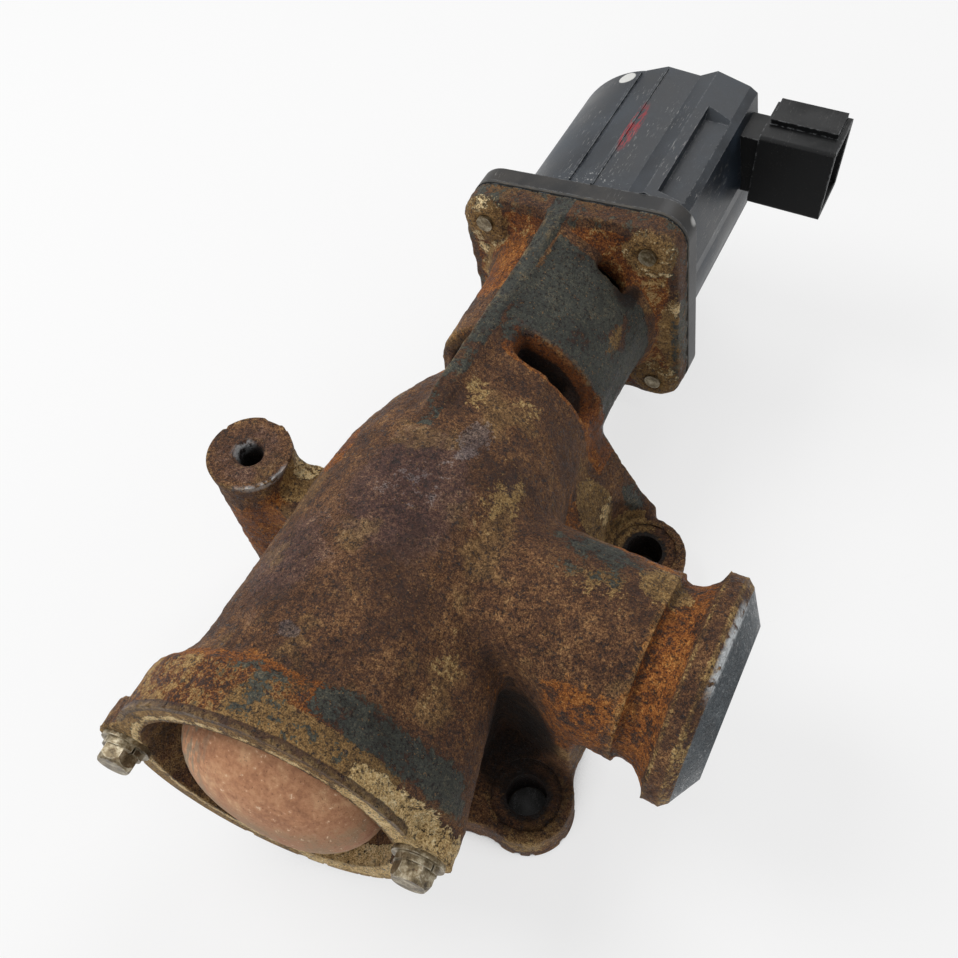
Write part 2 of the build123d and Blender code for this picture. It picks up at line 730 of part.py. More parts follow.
def lead_board():
    """Small board in the case's side pocket, from the coils' leads to the pins."""
    board = block(board_x, neck_x - 0.3, plug_y0 + 3, plug_y1 - 5, plug_z0 + 3, plug_z1 - 4)
    for y, z in pin_places():
        board -= block(board_x - 1, neck_x + 1, y - pin_half - 0.05, y + pin_half + 0.05,
                       z - pin_half - 0.05, z + pin_half + 0.05)
    return board


PARTS = {
    "housing": housing,
    "seat_ring": seat_ring,
    "stem_bush": stem_bush,
    "stem_seal": stem_seal,
    "seal_cap": seal_cap,
    "valve_head": valve_head,
    "valve_stem": valve_stem,
    "spring_seat": spring_seat,
    "return_spring": return_spring,
    "spring_retainer": spring_retainer,
    "keepers": keepers,
    "mouth_washers": mouth_washers,
    "mouth_lock_washers": mouth_lock_washers,
    "mouth_bolts": mouth_bolts,
    "flange_gasket": flange_gasket,
    "base_plate": base_plate,
    "flange_screws": flange_screws,
    "case_ring": case_ring,
    "motor_case": motor_case,
    "front_bearing": lambda: bearing(rotor_front - bearing_w),
    "rear_bearing": lambda: bearing(rotor_back + 0.7),
    "rotor_hub": rotor_hub,
    "rotor_magnet": rotor_magnet,
    "drive_screw": drive_screw,
    "stator_front": lambda: stator_core(stator_y0, stator_mid),
    "stator_rear": lambda: stator_core(stator_mid, stator_y1),
    "coil_front": lambda: coil(stator_y0, stator_mid),
    "coil_rear": lambda: coil(stator_mid, stator_y1),
    "connector_shell": connector_shell,
    "terminals": terminals,
    "connector_seal": connector_seal,
    "lead_board": lead_board,
}

for name, make in PARTS.items():
    export_step(make(), f"parts/{name}.step")
    print("wrote", name)
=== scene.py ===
# %% [markdown]
# # An exhaust gas recirculation valve, used and rusty
# On the engine this part lets a metered share of exhaust gas back into the intake. An iron
# casting carries the gas; a stepper motor in a black plastic case turns a nut, the nut
# pushes a screw, and the screw lifts the valve head off its seat.
# The lesson dresses the measured model: a cast skin for the iron, worn plastic for the
# motor, and a plain light studio to see them in.

# %% Load the measured model
from math import cos, radians, sin

import bpy
import numpy as np
from mathutils import Matrix, Vector, noise


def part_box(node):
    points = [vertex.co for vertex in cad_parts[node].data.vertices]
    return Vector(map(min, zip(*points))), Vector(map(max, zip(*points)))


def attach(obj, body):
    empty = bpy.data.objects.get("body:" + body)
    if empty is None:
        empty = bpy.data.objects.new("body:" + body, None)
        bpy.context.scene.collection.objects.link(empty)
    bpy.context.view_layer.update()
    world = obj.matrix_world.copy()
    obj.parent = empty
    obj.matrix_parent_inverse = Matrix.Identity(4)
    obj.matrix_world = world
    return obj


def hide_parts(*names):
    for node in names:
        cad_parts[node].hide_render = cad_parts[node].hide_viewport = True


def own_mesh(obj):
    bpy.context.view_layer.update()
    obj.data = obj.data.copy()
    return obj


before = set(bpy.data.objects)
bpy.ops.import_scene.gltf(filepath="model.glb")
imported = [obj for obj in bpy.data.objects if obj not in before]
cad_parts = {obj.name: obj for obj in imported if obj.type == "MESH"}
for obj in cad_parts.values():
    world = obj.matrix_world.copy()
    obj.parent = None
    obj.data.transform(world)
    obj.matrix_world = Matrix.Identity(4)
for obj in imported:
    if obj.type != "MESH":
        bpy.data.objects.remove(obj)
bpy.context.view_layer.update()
MM = 0.001                      # a millimetre in metres

# %% [markdown]
# ## Camera
# The valve lies on its ears and post, and the camera looks down on it from the gas mouth's
# side, turned a little about its own line of sight. A camera could be aimed by hand, but
# three angles, a distance and a target say the same thing in numbers that can be adjusted.

# %% Aim the camera
turn, height, roll = radians(34.90), radians(56.65), radians(-8.52)
target = Vector((-45.47, 26.18, 40.0)) * MM
distance = 263.43 * MM
ahead = Vector((-sin(turn) * cos(height), cos(turn) * cos(height), -sin(height)))
level = Vector((cos(turn), sin(turn), 0.0))
upward = level.cross(ahead)
right = cos(roll) * level + sin(roll) * upward
up = cos(roll) * upward - sin(roll) * level

camera = bpy.data.objects.new("camera", bpy.data.cameras.new("camera"))
bpy.context.scene.collection.objects.link(camera)
camera.matrix_world = Matrix((right, up, -ahead)).transposed().to_4x4()
camera.matrix_world.translation = target - distance * ahead
camera.data.lens = 35.70
camera.data.sensor_width = 36.0
camera.data.clip_start = 0.01
bpy.context.scene.camera = camera
print("camera stands at, mm:", [round(v / MM, 1) for v in camera.matrix_world.translation])

# %% [markdown]
# ## Wiring helpers
# Materials here are node trees. Writing each node out takes four lines, so these helpers
# add a node, set its inputs and link it in one call. Colours are written as 0-255 screen
# values, which are easy to read off a colour chart, and turned into the linear values that
# the shader works in.

# %% Colours and nodes
def colour(r, g, b):
    """Screen colour, 0 to 255, as the linear RGBA that a socket takes."""
    linear = []
    for v in (r / 255, g / 255, b / 255):
        linear.append(v / 12.92 if v <= 0.04045 else ((v + 0.055) / 1.055) ** 2.4)
    return (*linear, 1.0)


def fill(tree, node, inputs):
    """Gives each named input of a node its value or its link."""
    for key, value in inputs.items():
        if isinstance(value, bpy.types.NodeSocket):
            tree.links.new(value, node.inputs[key])
        else:
            node.inputs[key].default_value = value
    return node


def add(tree, kind, inputs=None, **settings):
    """One node of a kind, with its settings and inputs."""
    node = tree.nodes.new("ShaderNode" + kind)
    for key, value in settings.items():
        setattr(node, key, value)
    return fill(tree, node, inputs or {})


def calc(tree, operation, a, b=0.0, clamp=False):
    """A sum on one or two values; returns the result's socket."""
    return add(tree, "Math", {0: a, 1: b}, operation=operation, use_clamp=clamp).outputs[0]


def times(tree, a, b):
    return calc(tree, "MULTIPLY", a, b)


def weighted(tree, *pairs):
    """The sum of sockets, each times its weight."""
    total = 0.0
    for socket, weight in pairs:
        total = calc(tree, "ADD", times(tree, socket, weight), total)
    return total


def vector(tree, operation, a, b):
    """A sum on two vectors."""
    return add(tree, "VectorMath", {0: a, 1: b}, operation=operation).outputs[0]


def length_of(tree, arrow):
    return add(tree, "VectorMath", {0: arrow}, operation="LENGTH").outputs["Value"]


def axes_of(tree, arrow):
    """The X, Y and Z of a vector."""
    return add(tree, "SeparateXYZ", {0: arrow}).outputs


def noise_at(tree, place, scale, detail=2.0, roughness=0.5):
    """A cloudy noise; its first output is the value, "Color" is a vector."""
    return add(tree, "TexNoise", {"Vector": place, "Scale": scale, "Detail": detail,
                                  "Roughness": roughness}).outputs


def cover(tree, under, over, mask, share=1.0):
    """A colour with another laid over it where the mask is on, up to a share of 1."""
    if share < 1.0:
        mask = times(tree, mask, share)
    return add(tree, "Mix", {0: mask, 6: under, 7: over}, data_type="RGBA").outputs[2]


def ramp(tree, amount, *stops):
    """Colours along a value: each stop is (position, (r, g, b))."""
    node = add(tree, "ValToRGB", {0: amount})
    line = node.color_ramp
    while len(line.elements) < len(stops):
        line.elements.new(0.5)
    for element, (place, rgb) in zip(line.elements, stops):
        element.position = place
        element.color = colour(*rgb)
    return node.outputs[0]


def between(tree, value, low, high, start=0.0, finish=1.0):
    """The value, eased from start to finish as it goes from low to high."""
    return add(tree, "MapRange", {0: value, 1: low, 2: high, 3: start, 4: finish},
               interpolation_type="SMOOTHSTEP").outputs[0]


print("wiring helpers ready")

# %% [markdown]
# ## Effects shared by the finishes
# Rust, plastic and plated steel all need the same few ingredients: cloudy tone, a fine
# grain, flecks, scuffs, worn edges and lathe marks. Each ingredient is a node group with
# named inputs, built once. A material places the group and gives it its own sizes in
# millimetres, so one tree serves a coarse casting and a smooth moulding alike.

# %% Make a group
effects = {}


def start_group(name, inputs, *outputs):
    """An empty node group: inputs map names to defaults, outputs are the names of values.

    A number makes a value socket. A tuple, or None for a point, makes a vector socket.
    """
    tree = bpy.data.node_groups.new(name, "ShaderNodeTree")
    for key, default in inputs.items():
        kind = "NodeSocketFloat" if isinstance(default, float) else "NodeSocketVector"
        socket = tree.interface.new_socket(key, in_out="INPUT", socket_type=kind)
        if default is not None:
            socket.default_value = default
    for key in outputs:
        tree.interface.new_socket(key, in_out="OUTPUT", socket_type="NodeSocketFloat")
    effects[name] = tree
    given = tree.nodes.new("NodeGroupInput").outputs
    result = tree.nodes.new("NodeGroupOutput").inputs
    return tree, given, result


def effect(tree, name, **inputs):
    """Places a shared effect in a material and returns its outputs."""
    node = tree.nodes.new("ShaderNodeGroup")
    node.node_tree = effects[name]
    return fill(tree, node, inputs).outputs


print("group helpers ready")

# %% [markdown]
# ### Cloudy tone
# Dirt, rust and faded plastic never have one even colour. A noise a few millimetres across,
# stretched about its middle value, gives the cloudy light and dark patches.

# %% Cloudy tone group
tree, given, result = start_group(
    "cloudy_tone", {"Point": None, "Size": 5.0, "Detail": 4.0, "Contrast": 2.0}, "Tone")
scale = calc(tree, "DIVIDE", 1.0, given["Size"])
cells = noise_at(tree, given["Point"], scale, given["Detail"], 0.6)[0]
spread = times(tree, calc(tree, "SUBTRACT", cells, 0.5), given["Contrast"])
tree.links.new(calc(tree, "ADD", spread, 0.5, clamp=True), result["Tone"])
print("group:", tree.name)

# %% [markdown]
# ### Grain
# Sand casting and rust leave a lumpy skin. Two noises make it: broad lumps and a finer
# grit over them. Where a third, bent noise runs high there is a pit, the ragged hollow that
# is left when a flake of scale falls out.

# %% Grain group
tree, given, result = start_group("grain", {"Point": None, "Size": 1.5, "Pit Share": 0.3}, "Height", "Pits")
scale = calc(tree, "DIVIDE", 1.0, given["Size"])
lumps = noise_at(tree, given["Point"], scale, 3.0, 0.65)
grit = noise_at(tree, given["Point"], times(tree, scale, 4.3))[0]
sideways = add(tree, "VectorMath", {0: lumps["Color"], "Scale": times(tree, given["Size"], 0.9)},
               operation="SCALE").outputs[0]
bent = vector(tree, "ADD", given["Point"], sideways)
hollows = noise_at(tree, bent, times(tree, scale, 1.5), 2.0, 0.6)[0]
depth_left = calc(tree, "SUBTRACT", calc(tree, "SUBTRACT", hollows, 0.72),
                  times(tree, given["Pit Share"], -0.30))
pits = between(tree, depth_left, 0.0, 0.07)
skin = calc(tree, "ADD", times(tree, lumps[0], 0.65), times(tree, grit, 0.35))
tree.links.new(calc(tree, "SUBTRACT", skin, times(tree, pits, 0.35)), result["Height"])
tree.links.new(pits, result["Pits"])
print("group:", tree.name)

# %% [markdown]
# ### Flecks
# Flakes of scale, grit and dried splashes show as small ragged spots. A rough noise is cut
# off at a level: only its peaks are left, and the higher the level, the fewer and smaller
# the spots. Round dots on a regular net would look printed.

# %% Flecks group
tree, given, result = start_group("flecks", {"Point": None, "Size": 1.0, "Level": 0.62}, "Mask")
peaks = noise_at(tree, given["Point"], calc(tree, "DIVIDE", 1.0, given["Size"]), 3.0, 0.75)[0]
spot = between(tree, calc(tree, "SUBTRACT", peaks, given["Level"]), 0.0, 0.05)
tree.links.new(spot, result["Mask"])
print("group:", tree.name)

# %% [markdown]
# ### Scuffs
# Handling drags grit over a smooth surface and leaves short pale hairlines. A noise that is
# squeezed hard along one direction gives streaks; a second, broad noise keeps them to
# patches.

# %% Scuffs group
tree, given, result = start_group(
    "scuffs", {"Point": None, "Squeeze": (4.0, 0.25, 4.0), "Patch": 14.0, "Amount": 0.5}, "Mask")
hairs = noise_at(tree, vector(tree, "MULTIPLY", given["Point"], given["Squeeze"]), 0.9, 3.0, 0.7)[0]
patches = noise_at(tree, given["Point"], calc(tree, "DIVIDE", 1.0, given["Patch"]))[0]
kept = times(tree, between(tree, hairs, 0.60, 0.68), between(tree, patches, 0.48, 0.62))
tree.links.new(times(tree, kept, given["Amount"]), result["Mask"])
print("group:", tree.name)

# %% [markdown]
# ### Worn edges
# Corners lose their skin first. The Bevel node gives the normal that a rounded corner would
# have; where that differs from the real normal there is an edge, and the difference is the
# mask. Noise breaks it up so that the wear looks rubbed, not drawn.

# %% Worn edges group
tree, given, result = start_group("worn_edges", {"Point": None, "Width": 0.0005, "Amount": 0.7}, "Mask")
rounded = add(tree, "Bevel", {"Radius": given["Width"]}, samples=4).outputs[0]
facing = add(tree, "VectorMath", {0: rounded, 1: add(tree, "NewGeometry").outputs["Normal"]},
             operation="DOT_PRODUCT").outputs["Value"]
edge = between(tree, facing, 0.9, 0.995, 1.0, 0.0)
kept = between(tree, noise_at(tree, given["Point"], 0.7, 3.0)[0], 0.40, 0.60)
tree.links.new(times(tree, times(tree, edge, kept), given["Amount"]), result["Mask"])
print("groups so far:", sorted(effects))

# %% [markdown]
# ### Lathe marks
# A machined face carries fine rings from the cutter. The distance from the turning axis,
# put through a noise in one dimension, gives rings of uneven depth.

# %% Lathe marks group
tree, given, result = start_group(
    "lathe_marks", {"Point": None, "Centre": None, "Across": (1.0, 0.0, 1.0), "Pitch": 0.25}, "Height")
offset = vector(tree, "SUBTRACT", given["Point"], given["Centre"])
radius = length_of(tree, vector(tree, "MULTIPLY", offset, given["Across"]))
rings = add(tree, "TexNoise", {"W": calc(tree, "DIVIDE", radius, given["Pitch"]), "Scale": 1.0, "Detail": 2.0},
            noise_dimensions="1D")
tree.links.new(rings.outputs[0], result["Height"])
print("group:", tree.name)

# %% [markdown]
# ## The iron casting
# The measured housing has true sizes but knife-sharp inside corners, because it is made of
# exact solids. Sand-cast iron has none: every corner between two walls carries a fillet of
# a few millimetres and every outer edge is rounded. Bevelling the measured mesh fails on
# its many crossing faces, so the skin is rebuilt as an even net of small squares (a voxel
# remesh) and then relaxed. Relaxing is worked out in numpy on all points at once.

# %% Rebuild the skin as an even net
VOXEL = 0.8                     # mm between the net's points
iron = bpy.data.objects.new("housing_casting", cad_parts["housing"].data.copy())
bpy.context.scene.collection.objects.link(iron)
net = iron.modifiers.new("net", "REMESH")
net.mode = "VOXEL"
net.voxel_size = VOXEL * MM
evaluated = iron.evaluated_get(bpy.context.evaluated_depsgraph_get())
iron_mesh = bpy.data.meshes.new_from_object(evaluated)
iron.modifiers.clear()
iron.data = iron_mesh
iron_mesh.name = "housing_casting"
print("net points:", len(iron_mesh.vertices))


# %% Read the net into arrays
def read(collection, field, width, kind=float):
    """A field of every point or edge, one row each."""
    flat_list = np.empty(len(collection) * width, dtype=kind)
    collection.foreach_get(field, flat_list)
    return flat_list.reshape(-1, width)


def write_points(mesh, points):
    """Puts points, given in millimetres, back into the mesh."""
    mesh.vertices.foreach_set("co", (points * MM).ravel())
    mesh.update()


points = read(iron_mesh.vertices, "co", 3) / MM
edges = read(iron_mesh.edges, "vertices", 2, np.int64)
neighbours = np.bincount(edges.ravel(), minlength=len(points))


def average_of_neighbours(values):
    """For each point, the mean of the values at the points that share an edge with it."""
    total = np.zeros_like(values)
    for axis in range(values.shape[1]):
        column = values[:, axis]
        total[:, axis] = (np.bincount(edges[:, 0], column[edges[:, 1]], len(values))
                          + np.bincount(edges[:, 1], column[edges[:, 0]], len(values)))
    return total / neighbours[:, None]


print("edges:", len(edges))

# %% [markdown]
# Regions of the casting are easiest to name by where they lie: so far along the valve's
# axis, so far out from it, so far round it. The axis runs along Y through the chamber; the
# side port's axis runs along X.

# %% Name places on the casting
AXIS_X, AXIS_Z = -46.5, 47.0
PORT_Y, PORT_TIP = -7.2, 37.7   # the side port's axis, and how far it reaches along X
PORT_STEP = 18.0                # where the branch steps down to the port's neck
BRANCH_R, NECK_R = 23.4, 21.6   # before and after that step
PORT_BORE_R, COLLAR_R = 16.5, 28.0
MOUTH_R = 31.5                  # the gas mouth's bore
EARS = ((0.0, -39.0), (0.0, 39.0))
EAR_R, EAR_TOP = 12.4, 13.0
SEAT_R, SEAT_Z, HOLE_R = 9.2, 12.4, 5.25  # the milled seat on an ear, and its bolt hole
POST = (-97.0, -2.7)
POST_R, POST_HOLE_R, POST_TOP = 11.5, 4.6, 60.0
FLANGE_END = 98.0               # the face that the motor's foot sits on
CLOCK = radians(6.0)            # the motor flange is turned a little about the axis
MOUTH_YAW, MOUTH_PITCH = radians(7.0), radians(7.0)
MOUTH_CENTRE = np.array((AXIS_X, -73.3, AXIS_Z))
MOUTH_OUT = np.array((sin(MOUTH_YAW) * cos(MOUTH_PITCH), -cos(MOUTH_YAW) * cos(MOUTH_PITCH),
                      sin(MOUTH_PITCH)))
AXIS_PORT = np.array((1.0, 0.0, 0.0))
UP = np.array((0.0, 0.0, 1.0))


def ease(values, low, high):
    """0 below low, 1 above high, and smooth between; high may be the smaller."""
    t = np.clip((values - low) / (high - low), 0.0, 1.0)
    return t * t * (3.0 - 2.0 * t)


def near(p, place, reach, soft=0.35):
    """1 inside a ball about place, falling to 0 at reach; reach may differ by axis."""
    gap = np.linalg.norm((p - np.array(place)) / np.array(reach), axis=1)
    return ease(gap, 1.0, 1.0 - soft)


def distance_from_line(p, start, direction):
    """How far each point is from a line, and how far along it."""
    offset_from = p - np.array(start)
    along = offset_from @ direction
    return np.linalg.norm(offset_from - np.outer(along, direction), axis=1), along


def distance_from_post(p, place):
    """How far each point is from an upright line."""
    return np.hypot(p[:, 0] - place[0], p[:, 1] - place[1])


def most(*parts):
    return np.maximum.reduce(parts)


def valve_place(p):
    """Distance from the valve's axis and angle round it, in degrees from +X to +Z."""
    out = np.hypot(p[:, 0] - AXIS_X, p[:, 2] - AXIS_Z)
    angle = np.degrees(np.arctan2(p[:, 2] - AXIS_Z, p[:, 0] - AXIS_X))
    return out, angle


print("mouth faces", MOUTH_OUT.round(3))

# %% [markdown]
# Machined faces and bores keep their measured shape: the relaxing must leave them alone. A
# weight of 0 holds a point, 1 lets it move.

# %% Which points may move
def machined(p):
    """1 on faces that a cutter has finished and inside bores, 0 on the cast skin."""
    y, z = p[:, 1], p[:, 2]
    out, _ = valve_place(p)
    port_out, port_along = distance_from_line(p, (0, PORT_Y, AXIS_Z), AXIS_PORT)
    mouth_out, mouth_along = distance_from_line(p, MOUTH_CENTRE, MOUTH_OUT)
    post_out = distance_from_post(p, POST)
    hold = [
        ease(port_along, 31.4, 32.2) * (port_out < COLLAR_R + 1.0),
        (port_out < PORT_BORE_R + 0.8) & (p[:, 0] > -20),
        ease(np.abs(port_along - PORT_STEP), 2.4, 1.4) * (port_out > 20.5) * (port_out < 24.2),
        (mouth_along > -0.5) & (mouth_out < 46),
        (out < MOUTH_R + 0.3) & (y < -44),
        (out < 19.6) & (y > 50),
        (out < 9.8) & (y > 10),
        ease(y, FLANGE_END - 1.0, FLANGE_END - 0.2),
        (post_out < POST_HOLE_R + 0.3) & (z > 30),
        ease(z, 56.0, 57.5) * (post_out < POST_R + 0.9),
        ease(z, 0.7, 0.2),
    ]
    for ear in EARS:
        hold.append((distance_from_post(p, ear) < SEAT_R + 0.3) & (z > -1) & (z < EAR_TOP + 0.2))
    return most(*(part.astype(float) for part in hold))


free = 1.0 - machined(points)
print("held points:", int((free < 0.5).sum()))

# %% [markdown]
# Two relaxations follow. The first fills only hollows: a point moves out along its normal
# if its neighbours lie further out than it does, and never in, so inside corners grow into
# fillets while flat walls stay. The second is a short plain average that rounds the
# outside edges by about a millimetre.

# %% Fill the inside corners
FILL_ROUNDS = 60
FILL_LIMIT = 1.8                # mm that a fillet may stand proud of the measured corner
out_there, _ = valve_place(points)
outside = free * ((out_there > 26.0) | (points[:, 1] > 50)
                  | (distance_from_line(points, (0, PORT_Y, AXIS_Z), AXIS_PORT)[0] > 18))
outside = outside * (1.0 - 0.9 * ease(points[:, 0], 13.0, 17.0))
measured = points.copy()
normals = read(iron_mesh.vertex_normals, "vector", 3)
for _ in range(FILL_ROUNDS):
    pull = np.einsum("ij,ij->i", average_of_neighbours(points) - points, normals)
    points += (0.8 * outside * np.maximum(pull, 0.0))[:, None] * normals
    grown = np.einsum("ij,ij->i", points - measured, normals)
    points -= np.maximum(grown - FILL_LIMIT, 0.0)[:, None] * normals
print("largest fillet, mm:", round(float(np.abs(points - measured).max()), 2))

# %% Round the outside edges
for _ in range(5):
    points += (0.5 * free)[:, None] * (average_of_neighbours(points) - points)
write_points(iron_mesh, points)
print("skin relaxed; box, mm:", points.min(0).round(1), points.max(0).round(1))

# %% [markdown]
# The even net cuts the corners of machined edges into small steps. Each turned or drilled
# edge is a circle whose place is known, so points that lie close to one are moved onto it,
# and the edges between them are marked sharp.

# %% Sharpen the machined edges
port_edges = ((PORT_TIP, 18.6), (PORT_TIP, PORT_BORE_R), (PORT_STEP, BRANCH_R), (PORT_STEP, NECK_R),
              (27.3, COLLAR_R), (31.5, COLLAR_R), (32.1, 27.4), (33.3, 26.4))
ear_edges = ((SEAT_Z, HOLE_R), (SEAT_Z, SEAT_R), (EAR_TOP, SEAT_R), (0.0, HOLE_R), (0.0, EAR_R))
circles = [((x, PORT_Y, AXIS_Z), AXIS_PORT, size) for x, size in port_edges]
circles += [(MOUTH_CENTRE, MOUTH_OUT, size) for size in (37.6, MOUTH_R)]
circles += [((*POST, POST_TOP), UP, size) for size in (POST_R, POST_HOLE_R)]
circles += [((*ear, z), UP, size) for ear in EARS for z, size in ear_edges]

on_circle = np.zeros(len(points), dtype=bool)
edge_gap = np.full(len(points), 99.0)
for centre, direction, size in circles:
    out, along = distance_from_line(points, centre, direction)
    gap = np.hypot(along, out - size)
    close = gap < 0.62 * VOXEL
    edge_gap = np.minimum(edge_gap, gap)
    spoke = points[close] - np.array(centre) - np.outer(along[close], direction)
    spoke /= np.linalg.norm(spoke, axis=1)[:, None]
    points[close] = np.array(centre) + size * spoke
    on_circle |= close
write_points(iron_mesh, points)
sharp = on_circle[edges[:, 0]] & on_circle[edges[:, 1]]
flag = iron_mesh.attributes.get("sharp_edge") or iron_mesh.attributes.new("sharp_edge", "BOOLEAN", "EDGE")
flag.data.foreach_set("value", sharp)
iron_mesh.polygons.foreach_set("use_smooth", [True] * len(iron_mesh.polygons))
print("points on machined edges:", int(on_circle.sum()))

# %% [markdown]
# Rust stands up in lumps a millimetre or two across. They are real bumps in the silhouette,
# so the points themselves move, always inwards, which keeps the casting inside its measured
# size. They fade out beside machined edges and near the ears' soles, which stay clean. The
# finer grit is left to the material.

# %% Raise the rust
RUST_DEPTH = 0.45               # mm
normals = read(iron_mesh.vertex_normals, "vector", 3)
lump = np.array([noise.fractal(Vector(p) / 3.1, 0.9, 2.1, 3) for p in points])
swell = np.array([noise.noise(Vector(p) / 11.0) for p in points])
lump = np.clip(0.5 + 0.62 * lump + 0.35 * swell, 0.0, 1.0)
bumpy = (1.0 - machined(points)) * ease(edge_gap, 0.4, 2.0) * ease(points[:, 2], 0.5, 3.0)
depth = RUST_DEPTH * bumpy * (1.0 - lump)
points -= depth[:, None] * normals
lowest, highest = (np.array(corner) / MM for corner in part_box("housing"))
points = np.clip(points, lowest, highest)
write_points(iron_mesh, points)
print("rust depth, mm: mean", round(float(depth.mean()), 2))

# %% [markdown]
# ## Where each finish lies on the casting
# The iron left the foundry dark and was painted grey-green; heat, salt and water took the
# paint off in places. Rust is purple-brown where it is hot and old, orange where it is
# loose, and ochre or tan where it has bled or caked. Each of these is a mask stored on the
# points, drawn from soft balls and bands in the places where such an engine part shows
# them. The material later frays every mask with noise.

# %% Mask helpers and the paint that is left
out, angle = valve_place(points)
y = points[:, 1]
port_out, port_along = distance_from_line(points, (0, PORT_Y, AXIS_Z), AXIS_PORT)
mouth_out, mouth_along = distance_from_line(points, MOUTH_CENTRE, MOUTH_OUT)
masks = {}


def band(values, low, high, soft):
    """1 between low and high, fading over soft on both sides."""
    return ease(values, low - soft, low) * ease(values, high + soft, high)


def spots(*rows):
    """Soft balls on the casting; each row is a place, its reach, softness and strength."""
    return most(*(near(points, place, reach, soft) * strength for place, reach, soft, strength in rows))


def shares(*names):
    """The share of the points on which each mask is mostly on."""
    return {name: round(float((masks[name] > 0.5).mean()), 3) for name in names}


rim = (out > MOUTH_R) * band(mouth_along, -16, 0, 1.5)
yoke = band(y, 55, 84, 3) * band(angle, -20, 92, 10) * (out > 22) * (out < 31)
fin = band(points[:, 0], -54.5, -48.9, 0.6) * (points[:, 2] > 77.2) * (y > 14)
flange_side = np.max(np.abs(np.column_stack([
    (points[:, 0] - AXIS_X) * cos(CLOCK) + (points[:, 2] - AXIS_Z) * sin(CLOCK),
    (points[:, 2] - AXIS_Z) * cos(CLOCK) - (points[:, 0] - AXIS_X) * sin(CLOCK)])), axis=1)
rubbed_edge = spots(((-25, 70, 61), (5, 14, 7), 0.9, 1.0))
masks["paint"] = most(
    (out > MOUTH_R) * band(mouth_along, -14.5, -10.5, 7) * band(angle, 20, 60, 30) * 0.92,
    rim * band(mouth_along, -14, -4, 5) * band(angle, 22, 104, 20) * 0.50,
    yoke * (0.95 - 0.42 * rubbed_edge),
    fin * (0.64 + 0.31 * ease(y, 34, 58)),
    near(points, (-3, 50, 26), (14, 11, 22), 0.8) * ease(points[:, 2], 13.6, 17),
    ease(flange_side, 28.5, 31.5) * band(y, 89, 99, 1) * 0.55,
    spots(((-1, 7, 65), (22, 11, 11), 0.95, 0.95),
          ((2, 0, 69), (20, 12, 9), 0.95, 0.62),
          ((-16, -56, 52), (13, 14, 13), 0.7, 0.7),
          ((-44, 62, 76), (14, 24, 6), 0.6, 0.8)),
)
print("painted share:", shares("paint"))

# %% Ochre bleed and caked scale
SCREWS = ((-24.1, 74.7), (-74.2, 69.4), (-18.8, 24.6), (-68.9, 19.3))
screw_gap = np.minimum.reduce([np.hypot(points[:, 0] - x, points[:, 2] - z) for x, z in SCREWS])
flange_face = band(y, 88.6, 92.6, 0.8)
lip = rim * ease(mouth_along, -2.2, -0.6)
lip_inside = band(mouth_out, 30.9, 31.9, 0.3) * band(mouth_along, -8, 0, 2)
masks["ochre"] = most(
    rim * band(angle, 40, 90, 20) * band(mouth_along, -7, 0, 4) * 0.85,
    rim * band(angle, 80, 160, 20) * band(mouth_along, -12, 0, 4) * 0.54,
    flange_face * 0.47,
    lip * 0.8,
    ease(screw_gap, 11.5, 5.0) * flange_face * 0.9,
    ease(edge_gap, 1.6, 0.4) * (port_along > 26) * 0.5,
    rubbed_edge * 0.8,
    spots(((-72, 91, 54), (8, 5, 14), 0.7, 0.75),
          ((-15, 90, 48), (7, 6, 28), 0.7, 0.85),
          ((-18, 84, 58), (8, 12, 16), 0.8, 0.5),
          ((-7, 42, 14), (16, 14, 6), 0.7, 0.9),
          ((-14, 36, 28), (12, 10, 20), 0.5, 1.0),
          ((-30, 34, 72), (16, 14, 12), 0.95, 0.5),
          ((-24, 8, 72), (20, 24, 14), 0.95, 0.58),
          ((4, -50, 8), (16, 8, 10), 0.8, 0.6),
          ((16, 4, 67), (11, 11, 10), 0.8, 1.0),
          ((3, -2, 69), (20, 14, 9), 0.95, 0.62),
          ((-83, 2, 52), (16, 14, 11), 0.6, 1.0),
          ((-22, -34, 62), (14, 24, 16), 0.9, 0.45),
          ((-44, 28, 76), (9, 20, 8), 0.95, 0.5)),
)
masks["crust"] = most(
    rim * ease(mouth_along, -9.0, -4.0) * band(angle, 0, 48, 10) * 0.95,
    rim * ease(mouth_along, -3.0, -1.0) * band(angle, -80, 30, 14),
    lip_inside * band(angle, -112, -28, 10) * 0.95,
    band(screw_gap, 5.6, 7.4, 3.2) * flange_face * 0.46,
    lip * ease(mouth_out, 35.2, 33.0) * 0.75,
    spots(((-30, 91, 72), (10, 4, 8), 0.9, 0.56),
          ((-16, 91, 58), (7, 4, 12), 0.9, 0.62),
          ((-84, 3, 53), (12, 10, 6), 0.9, 0.66),
          ((-13, 38, 26), (10, 9, 14), 0.9, 0.75),
          ((-76, 91, 58), (5, 4, 12), 0.9, 0.6),
          ((-9, -62, 50), (8, 8, 10), 0.9, 0.7)),
)
print(shares("ochre", "crust"))

